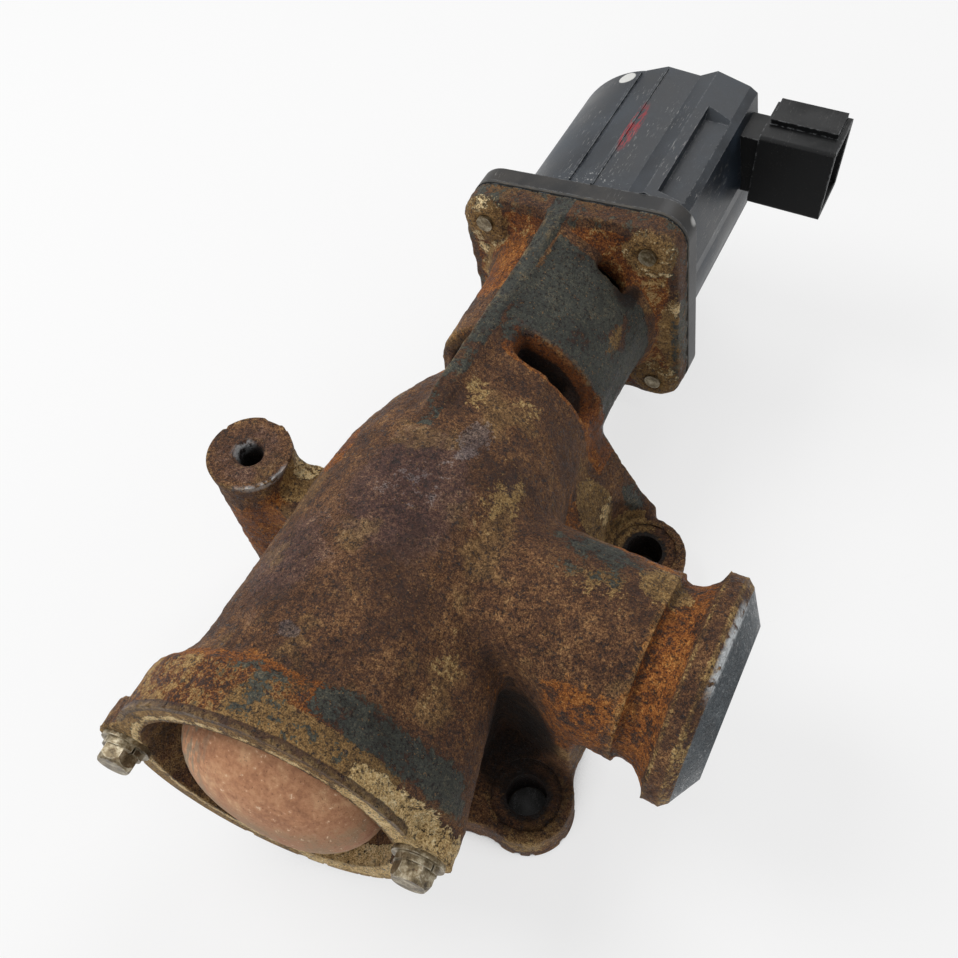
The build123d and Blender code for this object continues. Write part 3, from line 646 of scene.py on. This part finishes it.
# %% Loose orange rust, old purple rust and glossy scale
window = band(out, 19, MOUTH_R, 1) * band(angle, -40, 85, 8)
masks["orange"] = most(
    flange_face * band(flange_side, 0, 29.0, 3),
    rim * band(angle, 50, 160, 20) * 0.62,
    band(port_along, 17.5, 26, 2.5) * (port_out < 27) * 0.62,
    band(port_along, 2, 14, 8) * (port_out < 27) * band(points[:, 2], 34, 60, 8) * 0.6,
    window * band(y, 45, 55.5, 1.5),
    spots(((-64, 78, 66), (14, 20, 24), 0.8, 0.9),
          ((-62, 45, 64), (18, 16, 18), 0.9, 0.85),
          ((-70, 4, 68), (9, 15, 9), 0.8, 0.85),
          ((-92, -3, 34), (24, 20, 30), 0.5, 1.0),
          ((-50, -54, 78), (34, 10, 8), 0.9, 0.5),
          ((-2, -40, 6), (20, 18, 14), 0.8, 0.4),
          ((-14, -30, 44), (14, 26, 30), 0.9, 0.5),
          ((-28, 20, 74), (14, 26, 10), 0.9, 0.25),
          ((-16, 28, 40), (10, 14, 24), 0.9, 0.6)),
)
masks["plum"] = spots(
    ((-44, -4, 80), (30, 34, 16), 0.9, 0.95),
    ((-62, -30, 74), (24, 30, 20), 0.9, 0.7),
    ((-40, 36, 78), (18, 14, 10), 0.9, 0.5),
    ((-97, -3, 60), (14, 14, 5), 0.5, 0.5),
)
# Glossy scale; the grey-blue colour it is given below is partly a painted sheen.
masks["gloss"] = spots(
    ((-38, 16, 76), (9, 16, 8), 0.95, 0.7),
    ((-50, -45, 79), (6, 4, 5), 0.8, 0.8),
    ((-44, -2, 80), (18, 24, 10), 0.9, 0.5),
)
masks["wet"] = most(
    rim * ease(mouth_along, -2.4, -1.2) * ease(mouth_out, 35.4, 36.6) * band(angle, 24, 150, 12),
    window * band(y, 48.5, 54.5, 1.5) * 0.48,
)
print(shares("orange", "plum", "gloss", "wet"))

# %% Soot in the gas passages, and painted shade in a pocket and the bolt holes
in_mouth = out < MOUTH_R + 0.3
masks["soot_and_shade"] = most(
    band(out, 0, 20, 3) * band(y, 46, 54, 2) * 0.9,
    in_mouth * band(y, -95, -30, 4) * 0.2,
    in_mouth * band(y, -62, -30, 8) * 0.5,
    (out < 19.6) * (y > 50) * 0.9,
    (port_out < PORT_BORE_R + 0.4) * (points[:, 0] > -20) * 0.9,
    # The first two balls are painted shade: in the deep pocket beside the front ear, and on that ear.
    spots(((-8, -33, 28), (17, 17, 28), 0.5, 1.0),
          ((2, -36, 12), (18, 20, 9), 0.7, 0.6),
          ((-26, 84, 66), (8, 8, 8), 0.7, 0.85),
          ((-16, 66, 30), (14, 24, 16), 0.7, 0.6)),
)
post_out = distance_from_post(points, POST)
ear_out = np.minimum.reduce([distance_from_post(points, ear) for ear in EARS])
# Painted shade: the bolt holes in the ears and the post are darkened inside.
masks["bore"] = most(
    (ear_out < 6.6) * band(points[:, 2], 0.5, SEAT_Z + 0.3, 0.5),
    (post_out < 4.0) * band(points[:, 2], 30, 58.6, 0.8),
)
masks["bare"] = most(
    ease(port_along, 33.2, 33.9),
    ease(y, FLANGE_END - 0.8, FLANGE_END - 0.2),
)
collar_edge = np.hypot(port_along - 33.3, port_out - 26.4)
# Painted highlights: thin near-white lines on the collar's outer chamfer and on the post top's edges, where
# light would catch them.
masks["painted_highlight"] = most(
    ease(collar_edge, 1.3, 0.4) * spots(((33.3, -6, 72), (5, 15, 9), 0.5, 1.0)),
    band(post_out, 3.6, 4.3, 0.5) * spots(((-100.5, -2, 58.5), (4, 5, 3), 0.5, 0.5)),
    band(post_out, 11.0, 11.6, 0.4) * spots(((-88, -9, 60), (9, 9, 2), 0.5, 0.5)),
)
print(shares("soot_and_shade", "bore", "bare", "painted_highlight"))

# %% [markdown]
# A bend mask says how a point stands to its neighbours: over 0.5 on an outside edge, under
# it in a hollow. Rust bleeds pale over edges, and the hollows get painted shade, so almost
# every casting looks right once this mask is in its colour.

# %% Measure the bend and store all the masks
normals = read(iron_mesh.vertex_normals, "vector", 3)
bend = -np.einsum("ij,ij->i", average_of_neighbours(points) - points, normals)[:, None] / VOXEL
for _ in range(3):
    bend = 0.5 * bend + 0.5 * average_of_neighbours(bend)
masks["bend"] = np.clip(0.5 + 3.5 * bend[:, 0], 0.0, 1.0)
for name, values in masks.items():
    layer = iron_mesh.attributes.new(name, "FLOAT", "POINT")
    layer.data.foreach_set("value", np.asarray(values, dtype=np.float32))
print("bend runs from", round(float(bend.min()), 2), "to", round(float(bend.max()), 2))

# %% [markdown]
# ## The rusty iron finish
# One material wears all the layers, from the oldest up: brown rust, loose orange rust,
# ochre bleed, paint, caked scale, soot with painted shade, and bare machined metal. Each layer
# lies over the last through its mask, and each mask is frayed by two noises so that no border is smooth.

# %% Start a finish
def start_finish(name):
    """An empty material, its shader and a point in millimetres."""
    material = bpy.data.materials.new(name)
    material.use_nodes = True
    tree = material.node_tree
    shader = tree.nodes["Principled BSDF"]
    place = add(tree, "TexCoord").outputs["Object"]
    point = add(tree, "VectorMath", {0: place, "Scale": 1.0 / MM}, operation="SCALE").outputs[0]
    return material, tree, shader, point


def set_bump(tree, shader, height, depth):
    """Feeds a height, in units of depth millimetres, to the shader's normal."""
    bump = add(tree, "Bump", {"Height": height, "Strength": 1.0, "Distance": depth * MM})
    tree.links.new(bump.outputs[0], shader.inputs["Normal"])
    return bump


# %% Rust, layer by layer
rust, tree, shader, point = start_finish("rusty_iron")
broad = effect(tree, "cloudy_tone", Point=point, Size=9.0, Contrast=2.6)["Tone"]
patchy = effect(tree, "cloudy_tone", Point=point, Size=17.0, Contrast=3.4)["Tone"]
middle = effect(tree, "cloudy_tone", Point=point, Size=2.8, Contrast=2.6)["Tone"]
fine = effect(tree, "cloudy_tone", Point=point, Size=0.9, Contrast=2.6)["Tone"]
dusty = effect(tree, "cloudy_tone", Point=point, Size=0.36, Contrast=4.0, Detail=2.0)["Tone"]
cloudy = weighted(tree, (broad, 0.26), (middle, 0.22), (fine, 0.26), (dusty, 0.26))
ragged = weighted(tree, (broad, 0.50), (middle, 0.45), (fine, 0.30), (dusty, 0.12))
ragged = calc(tree, "SUBTRACT", ragged, 0.985)


def stored(name):
    """A mask that was stored on the casting's points."""
    return add(tree, "Attribute", attribute_name=name).outputs["Fac"]


def frayed(name, low=0.40, high=0.60, tear=1.0):
    """A stored mask with its border broken up by noise; where it is 0 it stays 0."""
    mask = stored(name)
    torn = times(tree, ragged, tear)
    lifted = calc(tree, "ADD", times(tree, mask, 1.2 + 0.3 * tear), torn)
    return times(tree, between(tree, lifted, low, high), between(tree, mask, 0.02, 0.2))


brown = ramp(tree, cloudy, (0.22, (36, 21, 13)), (0.40, (74, 47, 30)), (0.54, (105, 71, 46)),
             (0.68, (142, 103, 67)), (0.84, (186, 144, 96)))
plum = ramp(tree, cloudy, (0.22, (32, 20, 18)), (0.42, (68, 45, 40)), (0.56, (92, 65, 55)),
            (0.72, (126, 95, 76)), (0.86, (170, 138, 108)))
orange = ramp(tree, cloudy, (0.22, (48, 22, 7)), (0.40, (102, 53, 18)), (0.54, (145, 84, 33)),
              (0.68, (181, 116, 53)), (0.84, (214, 158, 88)))
ochre = ramp(tree, cloudy, (0.22, (72, 52, 28)), (0.42, (124, 95, 56)), (0.56, (160, 128, 80)),
             (0.72, (190, 159, 105)), (0.86, (214, 188, 138)))
scale = ramp(tree, cloudy, (0.22, (132, 104, 64)), (0.42, (200, 166, 110)), (0.56, (232, 202, 148)),
             (0.78, (250, 230, 184)))
paint = ramp(tree, cloudy, (0.22, (22, 24, 20)), (0.42, (42, 44, 39)), (0.58, (58, 60, 53)),
             (0.74, (84, 82, 70)), (0.88, (128, 114, 86)))
soot_and_shade = ramp(tree, cloudy, (0.22, (5, 3, 2)), (0.50, (19, 11, 7)), (0.80, (54, 34, 21)))
glassy_scale_and_sheen = ramp(tree, cloudy, (0.22, (34, 24, 24)), (0.50, (72, 66, 70)), (0.80, (138, 132, 134)))
steel = ramp(tree, cloudy, (0.22, (26, 31, 35)), (0.50, (52, 59, 64)), (0.80, (96, 102, 105)))

on_orange, on_ochre, on_paint = frayed("orange"), frayed("ochre"), frayed("paint", tear=2.2)
on_scale, on_soot_and_shade, on_plum = frayed("crust", tear=1.6), frayed("soot_and_shade", 0.2, 0.9), frayed("plum", 0.3, 0.7)
on_gloss, on_wet = frayed("gloss", 0.46, 0.58), frayed("wet", 0.3, 0.6)
on_bare = between(tree, stored("bare"), 0.3, 0.7)
coat = cover(tree, brown, plum, on_plum)
for over, mask, share in (
        (ochre, between(tree, patchy, 0.62, 1.0, 0.0, 0.38), 1.0),
        (colour(52, 33, 26), between(tree, patchy, 0.36, 0.0, 0.0, 0.45), 1.0),
        (orange, on_orange, 0.9),
        # Glossy scale, partly a painted grey-blue sheen.
        (glassy_scale_and_sheen, on_gloss, 0.55),
        (ochre, on_ochre, 0.88),
        (paint, on_paint, 1.0),
        (scale, on_scale, 1.0),
        (colour(50, 22, 11), on_wet, 0.85)):
    coat = cover(tree, coat, over, mask, share)
print("layers wired:", len(tree.nodes), "nodes so far")

# %% Painted shade in hollows, edges, flecks, bare metal and painted highlights
grain = effect(tree, "grain", Point=point, Size=1.1, **{"Pit Share": 0.35})
bend_here = stored("bend")
hollow = between(tree, bend_here, 0.47, 0.22)
crest = between(tree, calc(tree, "ADD", bend_here, times(tree, fine, 0.1)), 0.64, 1.0)
flakes = effect(tree, "flecks", Point=point, Size=0.8, Level=0.62)["Mask"]
shifted = vector(tree, "ADD", point, (31.0, 17.0, 53.0))
beads = effect(tree, "flecks", Point=shifted, Size=1.0, Level=0.575)["Mask"]
painted_highlight = times(tree, stored("painted_highlight"), between(tree, middle, 0.2, 0.5))
for over, mask, share in (
        # Painted shade: the hollows darkened where shade would fall.
        (colour(28, 17, 11), hollow, 0.7),
        (ochre, crest, 0.5),
        (colour(22, 13, 10), grain["Pits"], 0.75),
        (colour(178, 134, 86), flakes, 0.55),
        (colour(30, 19, 19), beads, 0.8),
        # Soot in the gas passages, with painted shade in the pocket by the front ear.
        (soot_and_shade, on_soot_and_shade, 0.94),
        # Painted shade inside the bolt holes.
        (soot_and_shade, stored("bore"), 1.0),
        (steel, on_bare, 1.0),
        # Painted highlight: near-white on those machined edges.
        (colour(232, 236, 238), painted_highlight, 1.0)):
    coat = cover(tree, coat, over, mask, share)
tree.links.new(coat, shader.inputs["Base Color"])
tree.links.new(times(tree, on_bare, 0.5), shader.inputs["Metallic"])
dull = weighted(tree, (middle, 0.26), (beads, -0.40), (on_gloss, -0.34), (on_wet, -0.28),
                (on_soot_and_shade, 0.25), (on_paint, -0.14), (on_bare, -0.34))
tree.links.new(calc(tree, "ADD", dull, 0.62, clamp=True), shader.inputs["Roughness"])
shader.inputs["Specular IOR Level"].default_value = 0.3
print("rust colours wired:", len(tree.nodes), "nodes")

# %% Rust height
cut = effect(tree, "lathe_marks", Point=point, Centre=(0.0, PORT_Y, AXIS_Z), Across=(0.0, 1.0, 1.0),
             Pitch=0.3)["Height"]
smooth_now = calc(tree, "MAXIMUM", times(tree, on_paint, 0.5), on_bare)
rough_skin = times(tree, grain["Height"], calc(tree, "SUBTRACT", 1.0, smooth_now))
height_now = weighted(tree, (rough_skin, 1.0), (beads, 0.30), (flakes, 0.14), (dusty, 0.07), (on_scale, 0.30),
                      (times(tree, cut, on_bare), 0.06))
set_bump(tree, shader, height_now, 1.1)
iron_mesh.materials.clear()
iron_mesh.materials.append(rust)
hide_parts("housing")
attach(iron, "base")
print("casting dressed")

# %% [markdown]
# ## The return spring
# The spring closes the valve and gets shorter as the valve opens. A rigid spring would poke
# through its moving retainer. A copy of the measured wire stands in for it, with its own
# mesh, on the base.

# %% Copy the spring
spring = bpy.data.objects.new("return_spring_coil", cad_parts["return_spring"].data.copy())
bpy.context.scene.collection.objects.link(spring)
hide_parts("return_spring")
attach(spring, "base")
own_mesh(spring)

# %% [markdown]
# ## Finishes for the smaller pieces
# The other pieces keep their measured shape and only need a skin. Most are variations on
# one idea: three tones mixed by cloudy noise, flecks of a fourth colour, rubbed edges and a
# little grain. A helper wires that once; each piece then gives its own tones and sizes.

# %% A finish made of tones, flecks and rubbed edges
def mixed_tones(tree, point, cloud, grit, tones, broad_share, contrasts, places=(0.2, 0.5, 0.8)):
    """Three tones along a broad and a fine noise: the colour, the broad, fine and mixed noise."""
    broad = effect(tree, "cloudy_tone", Point=point, Size=cloud, Contrast=contrasts[0])["Tone"]
    fine = effect(tree, "cloudy_tone", Point=point, Size=grit, Contrast=contrasts[1])["Tone"]
    both = calc(tree, "ADD", times(tree, broad, broad_share), times(tree, fine, 1.0 - broad_share))
    return ramp(tree, both, *zip(places, tones)), broad, fine, both


def dress(material, *pieces):
    """Gives pieces, or measured nodes by name, a material in place of their plain one."""
    for piece in pieces:
        worn_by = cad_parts[piece] if isinstance(piece, str) else piece
        for slot in worn_by.material_slots:
            slot.material = material
        print(material.name, "on", worn_by.name)


def toned_finish(pieces, name, tones, fleck, metal=0.0, dull=0.5, cloud=5.0, grit=0.6, depth=0.05,
                 edge=None):
    """Makes a finish from three tones, the colour of its flecks and its sizes; dresses pieces."""
    material, tree, shader, point = start_finish(name)
    coat, _, fine, _ = mixed_tones(tree, point, cloud, grit, tones, 0.65, (2.2, 1.6))
    flecks = effect(tree, "flecks", Point=point, Size=0.7, Level=0.60)["Mask"]
    coat = cover(tree, coat, colour(*fleck), flecks, 0.6)
    if edge:
        worn = effect(tree, "worn_edges", Point=point, Width=0.0005, Amount=0.7)["Mask"]
        coat = cover(tree, coat, colour(*edge), worn)
    rough = calc(tree, "ADD", dull - 0.08, times(tree, fine, 0.16), clamp=True)
    grain = effect(tree, "grain", Point=point, Size=grit, **{"Pit Share": 0.2})["Height"]
    tree.links.new(coat, shader.inputs["Base Color"])
    tree.links.new(rough, shader.inputs["Roughness"])
    shader.inputs["Metallic"].default_value = metal
    set_bump(tree, shader, grain, depth)
    dress(material, *pieces)


print("finish helpers ready")

# %% [markdown]
# Steel differs by treatment. The seat ring and head run red hot, so they are heat tinted;
# bearings are bright and oiled; plated bolts have gone grey-olive; pressed parts carry a
# thin film of oil and dust.

# %% Steels
toned_finish(("seat_ring",), "hot_seat_steel",
             ((70, 62, 56), (104, 96, 88), (136, 124, 110)), (60, 40, 30), metal=0.7)
toned_finish(("valve_stem", "drive_screw"), "ground_stem_steel",
             ((110, 110, 108), (140, 140, 138), (164, 162, 158)), (96, 70, 48),
             metal=1.0, dull=0.32, cloud=9.0, grit=0.4, depth=0.01)
toned_finish(("seal_cap", "spring_seat", "spring_retainer", "keepers"), "oiled_pressed_steel",
             ((88, 86, 80), (118, 115, 106), (142, 138, 128)), (72, 50, 34), metal=0.9, dull=0.42)
toned_finish((spring,), "spring_wire_steel",
             ((58, 56, 54), (82, 80, 78), (112, 110, 106)), (104, 66, 38),
             metal=0.9, dull=0.38, cloud=3.0)
toned_finish(("front_bearing", "rear_bearing"), "bearing_steel",
             ((140, 140, 140), (168, 168, 168), (190, 190, 190)), (110, 104, 96),
             metal=1.0, dull=0.25, cloud=7.0, grit=0.3, depth=0.01)
toned_finish(("stator_front", "stator_rear"), "stator_sheet_steel",
             ((92, 92, 90), (118, 118, 116), (142, 142, 140)), (84, 64, 44), metal=0.9, dull=0.45)
toned_finish(("mouth_washers", "mouth_lock_washers", "mouth_bolts", "flange_screws"),
             "plated_bolt_steel", ((52, 40, 24), (118, 104, 78), (186, 176, 152)), (92, 54, 26),
             metal=0.55, dull=0.42, cloud=2.2, grit=0.5, depth=0.08, edge=(206, 200, 182))

# %% Bronze, rubber, fibre, magnet and plastic
toned_finish(("stem_bush",), "bush_bronze",
             ((104, 76, 40), (142, 108, 60), (172, 138, 84)), (60, 44, 28), metal=1.0, dull=0.4)
toned_finish(("stem_seal", "case_ring"), "seal_rubber",
             ((20, 20, 20), (32, 31, 30), (46, 44, 42)), (84, 76, 64), dull=0.62, cloud=4.0)
toned_finish(("connector_seal",), "orange_plug_seal",
             ((130, 54, 20), (164, 74, 30), (186, 96, 46)), (110, 80, 50), dull=0.55)
toned_finish(("flange_gasket",), "gasket_fibre",
             ((42, 42, 40), (60, 58, 54), (80, 76, 68)), (110, 86, 54), dull=0.8, grit=0.35, depth=0.08)
toned_finish(("rotor_magnet",), "magnet_ferrite",
             ((34, 34, 36), (48, 48, 50), (64, 64, 66)), (90, 90, 90), grit=0.3)
toned_finish(("rotor_hub",), "rotor_plastic",
             ((176, 170, 152), (198, 192, 174), (214, 208, 192)), (120, 110, 90))
toned_finish(("terminals",), "terminal_brass",
             ((126, 128, 132), (158, 160, 164), (186, 188, 192)), (96, 92, 80),
             metal=1.0, dull=0.3, cloud=2.0, grit=0.3, depth=0.02)
toned_finish(("lead_board",), "lead_board_green",
             ((26, 62, 40), (36, 84, 54), (52, 104, 70)), (170, 150, 90), dull=0.4)

# %% [markdown]
# A coil is one long enamelled wire laid turn by turn, so its skin is a row of fine rounded
# ridges round the valve's axis. A sine wave along Y stands for the turns.

# %% Wound copper
coil, tree, shader, point = start_finish("wound_copper")
waves = calc(tree, "SINE", times(tree, axes_of(tree, point)["Y"], 14.0))
turns = calc(tree, "ADD", times(tree, waves, 0.5), 0.5)
tone = effect(tree, "cloudy_tone", Point=point, Size=3.0)["Tone"]
wire = ramp(tree, calc(tree, "ADD", times(tree, turns, 0.6), times(tree, tone, 0.4)),
            (0.1, (70, 30, 12)), (0.5, (140, 70, 34)), (0.9, (190, 112, 66)))
tree.links.new(wire, shader.inputs["Base Color"])
shader.inputs["Metallic"].default_value = 0.6
shader.inputs["Roughness"].default_value = 0.3
set_bump(tree, shader, turns, 0.1)
dress(coil, "coil_front", "coil_rear")

# %% [markdown]
# ## The valve head
# The head sits in the hottest gas. Soot burns off it and leaves a salmon bloom of iron
# oxide, streaked grey-green where the gas first strikes and dotted with pale ash.

# %% Heat-stained head
head, tree, shader, point = start_finish("heat_stained_head")
bloom, _, _, both = mixed_tones(tree, point, 8.0, 1.2, ((142, 92, 62), (188, 134, 96), (216, 170, 128)),
                                0.6, (2.2, 2.2), (0.15, 0.5, 0.85))
stretched = vector(tree, "MULTIPLY", point, (0.5, 0.12, 0.12))
streaks = effect(tree, "cloudy_tone", Point=stretched, Size=1.0, Contrast=3.0)["Tone"]
parts = axes_of(tree, point)
left_side = between(tree, parts["X"], -52.0, -62.0)
low_side = between(tree, parts["Z"], 62.0, 50.0)
gas_side = times(tree, between(tree, streaks, 0.42, 0.62), left_side)
bloom = cover(tree, bloom, colour(132, 124, 104), gas_side, 0.8)
# Darker and browner towards the bottom of the head.
lower_head_darkening = times(tree, low_side, between(tree, both, 0.2, 0.7))
bloom = cover(tree, bloom, colour(120, 98, 70), lower_head_darkening, 0.75)
ash = effect(tree, "flecks", Point=point, Size=1.2, Level=0.64)["Mask"]
bloom = cover(tree, bloom, colour(236, 208, 176), ash, 0.8)
pit = effect(tree, "grain", Point=point, Size=0.9, **{"Pit Share": 0.25})
bloom = cover(tree, bloom, colour(96, 62, 46), pit["Pits"], 0.5)
tree.links.new(bloom, shader.inputs["Base Color"])
shader.inputs["Roughness"].default_value = 0.72
set_bump(tree, shader, pit["Height"], 0.25)
dress(head, "valve_head")

# %% [markdown]
# ## The motor's plastic
# The case, the foot and the wiring socket are glass-filled nylon, moulded black. Under the
# bonnet the case greys with dust, its ridges polish, and hands leave scuffs. The grey on
# upward faces is partly dust and partly a painted sheen, and the case's bluish tint is partly
# a painted sheen too. The same black with less dust and fewer scuffs does for the socket.

# %% Black plastic with dust, a painted sheen on top, and scuffs
def black_plastic(name, tones, dust_and_sheen, dust_and_sheen_amount, scuff_amount, dull):
    """Returns the material with its tree, point and colour, so that marks can be added."""
    material, tree, shader, point = start_finish(name)
    coat, tone, _, both = mixed_tones(tree, point, 16.0, 0.5, tones, 0.7, (1.8, 1.4))
    facing_up = axes_of(tree, add(tree, "NewGeometry").outputs["Normal"])["Z"]
    # Dust and a painted sheen: faces that look up turn grey.
    dust_and_sheen_on_top = times(tree, between(tree, facing_up, 0.2, 1.0), between(tree, tone, 0.3, 0.8))
    coat = cover(tree, coat, colour(*dust_and_sheen), dust_and_sheen_on_top, dust_and_sheen_amount)
    grit = effect(tree, "flecks", Point=point, Size=0.5, Level=0.66)["Mask"]
    coat = cover(tree, coat, colour(140, 134, 124), grit, 0.35)
    hair = effect(tree, "scuffs", Point=point, Squeeze=(2.6, 0.3, 2.6), Patch=12.0,
                  Amount=scuff_amount)["Mask"]
    coat = cover(tree, coat, colour(168, 166, 162), hair)
    worn = effect(tree, "worn_edges", Point=point, Width=0.0006, Amount=0.55)["Mask"]
    coat = cover(tree, coat, colour(140, 142, 144), worn)
    rough = calc(tree, "ADD", dull - 0.1, times(tree, both, 0.2))
    tree.links.new(calc(tree, "ADD", rough, times(tree, dust_and_sheen_on_top, 0.12), clamp=True),
                   shader.inputs["Roughness"])
    grain = effect(tree, "grain", Point=point, Size=0.35, **{"Pit Share": 0.1})["Height"]
    shader.inputs["Specular IOR Level"].default_value = 0.3
    set_bump(tree, shader, grain, 0.03)
    return material, tree, shader, point, coat


# %% Motor case, with its paint mark and scratches
# The case's bluish tones are partly a painted sheen.
case, tree, shader, point, coat = black_plastic(
    "motor_case_plastic", ((11, 15, 20), (20, 27, 35), (34, 44, 55)), (82, 84, 86), 0.32, 0.6, 0.4)


def mark(centre, size, low=1.0, high=0.6):
    """A soft blot at a place on the piece, from its distance in a stretched space."""
    gap = vector(tree, "SUBTRACT", point, centre)
    stretched = vector(tree, "MULTIPLY", gap, tuple(1.0 / s for s in size))
    return between(tree, length_of(tree, stretched), low, high)


drawn_out = vector(tree, "MULTIPLY", point, (2.2, 0.35, 1.0))
streaky = effect(tree, "cloudy_tone", Point=drawn_out, Size=1.2, Contrast=3.2)["Tone"]
red = times(tree, mark((-46.3, 132.0, 80.5), (2.2, 13.0, 6.0)), between(tree, streaky, 0.36, 0.62))
coat = cover(tree, coat, colour(150, 22, 34), red, 0.8)
white = mark((-59.6, 159.4, 75.8), (3.0, 2.8, 3.0), high=0.85)
coat = cover(tree, coat, colour(214, 214, 210), white)
chips = effect(tree, "flecks", Point=point, Size=0.9, Level=0.60)["Mask"]
rubs = times(tree, mark((-54.0, 108.0, 79.0), (20.0, 6.0, 8.0), high=0.3), chips)
coat = cover(tree, coat, colour(176, 176, 174), rubs, 0.8)
tree.links.new(coat, shader.inputs["Base Color"])
dress(case, "motor_case")

# %% Foot plate and wiring socket
foot, tree, shader, point, coat = black_plastic(
    "motor_foot_plastic", ((14, 14, 15), (23, 23, 24), (36, 36, 37)), (80, 74, 66), 0.28, 0.4, 0.4)
# A painted highlight: a bright spot on the foot plate's top corner.
coat = cover(tree, coat, colour(190, 190, 188), mark((-15.5, 104.0, 79.0), (2.6, 2.6, 2.6)))
tree.links.new(coat, shader.inputs["Base Color"])
dress(foot, "base_plate")

socket, tree, shader, point, coat = black_plastic(
    "wiring_socket_plastic", ((3, 3, 4), (5, 6, 7), (9, 10, 11)), (36, 36, 36), 0.06, 0.1, 0.5)
tree.links.new(coat, shader.inputs["Base Color"])
shader.inputs["Specular IOR Level"].default_value = 0.2
dress(socket, "connector_shell")

# %% [markdown]
# ## Studio
# A pale floor, a pale world and four soft lamps. The key lamp is high on the camera's left,
# as if a window stood there; the others only lift the shadows. To the camera and in
# reflections the floor and world are nearly white, which Light Path allows without any more
# scattered light on the valve. Where little sky is open above the floor its white fades and its
# own colour is painted dark as shade, so the bottoms of the ears' holes stay dark.

# %% Floor
def seen_directly(tree):
    """1 for the camera's own rays, for reflections and for rays that came through glass."""
    path = add(tree, "LightPath").outputs
    mirrored = calc(tree, "MAXIMUM", path["Is Glossy Ray"], path["Is Transmission Ray"])
    return calc(tree, "MAXIMUM", path["Is Camera Ray"], mirrored)


floor_mesh = bpy.data.meshes.new("floor")
FLOOR_REACH = 4.0               # metres from its middle to each side
corners = [(x * FLOOR_REACH, y * FLOOR_REACH, 0) for x, y in ((-1, -1), (1, -1), (1, 1), (-1, 1))]
floor_mesh.from_pydata(corners, [], [(0, 1, 2, 3)])
floor = bpy.data.objects.new("floor", floor_mesh)
floor.location.z = -0.2 * MM    # just under the soles, so that the faces don't flicker
bpy.context.scene.collection.objects.link(floor)
floor_coat = bpy.data.materials.new("pale_floor")
floor_coat.use_nodes = True
tree = floor_coat.node_tree
shader = tree.nodes["Principled BSDF"]
shader.inputs["Roughness"].default_value = 0.9
seen = seen_directly(tree)
glow = add(tree, "Emission", {"Color": colour(255, 255, 255), "Strength": 1.0})
open_above = add(tree, "AmbientOcclusion", {"Distance": 0.02}, samples=8).outputs["AO"]
open_floor = between(tree, open_above, 0.2, 0.6)
# Painted shade: the floor's own colour goes near black where the AO finds it closed in.
pale = cover(tree, colour(22, 17, 13), colour(236, 236, 236), open_floor)
tree.links.new(pale, shader.inputs["Base Color"])
share = times(tree, times(tree, seen, 0.72), open_floor)
white = add(tree, "MixShader", {0: share, 1: shader.outputs[0], 2: glow.outputs[0]})
tree.links.new(white.outputs[0], tree.nodes["Material Output"].inputs["Surface"])
floor_mesh.materials.append(floor_coat)
print("floor laid")

# %% World
world = bpy.data.worlds.new("pale_world")
bpy.context.scene.world = world
world.use_nodes = True
tree = world.node_tree
backdrop = tree.nodes["Background"]
DAYLIGHT = 0.22                 # the world's even light on the valve
level_now = calc(tree, "ADD", DAYLIGHT, times(tree, seen_directly(tree), 1.0 - DAYLIGHT))
backdrop.inputs["Color"].default_value = (1.0, 1.0, 1.0, 1.0)
tree.links.new(level_now, backdrop.inputs["Strength"])
print("world wired")

# %% Lamps
middle_of_valve = Vector((-30.0, 35.0, 45.0)) * MM


def lamp(name, sideways, above, towards, away, size, power):
    """A square lamp placed by the camera's own right, up and back, aimed at the valve."""
    direction = (sideways * right + above * up - towards * ahead).normalized()
    data = bpy.data.lights.new(name, "AREA")
    data.size = size
    data.energy = power
    obj = bpy.data.objects.new(name, data)
    obj.location = middle_of_valve + away * direction
    obj.rotation_euler = direction.to_track_quat("Z", "Y").to_euler()
    bpy.context.scene.collection.objects.link(obj)


lamp("key", -0.75, 0.65, 0.55, 0.9, 0.45, 4.6)
lamp("top", 0.25, 0.95, 0.35, 0.9, 0.5, 2.4)
lamp("low", -0.35, -0.45, 0.80, 0.9, 0.5, 1.8)
lamp("fill", 0.9, -0.2, 0.6, 1.1, 0.6, 0.8)
bpy.context.scene.view_settings.view_transform = "Standard"
print("lamps lit")
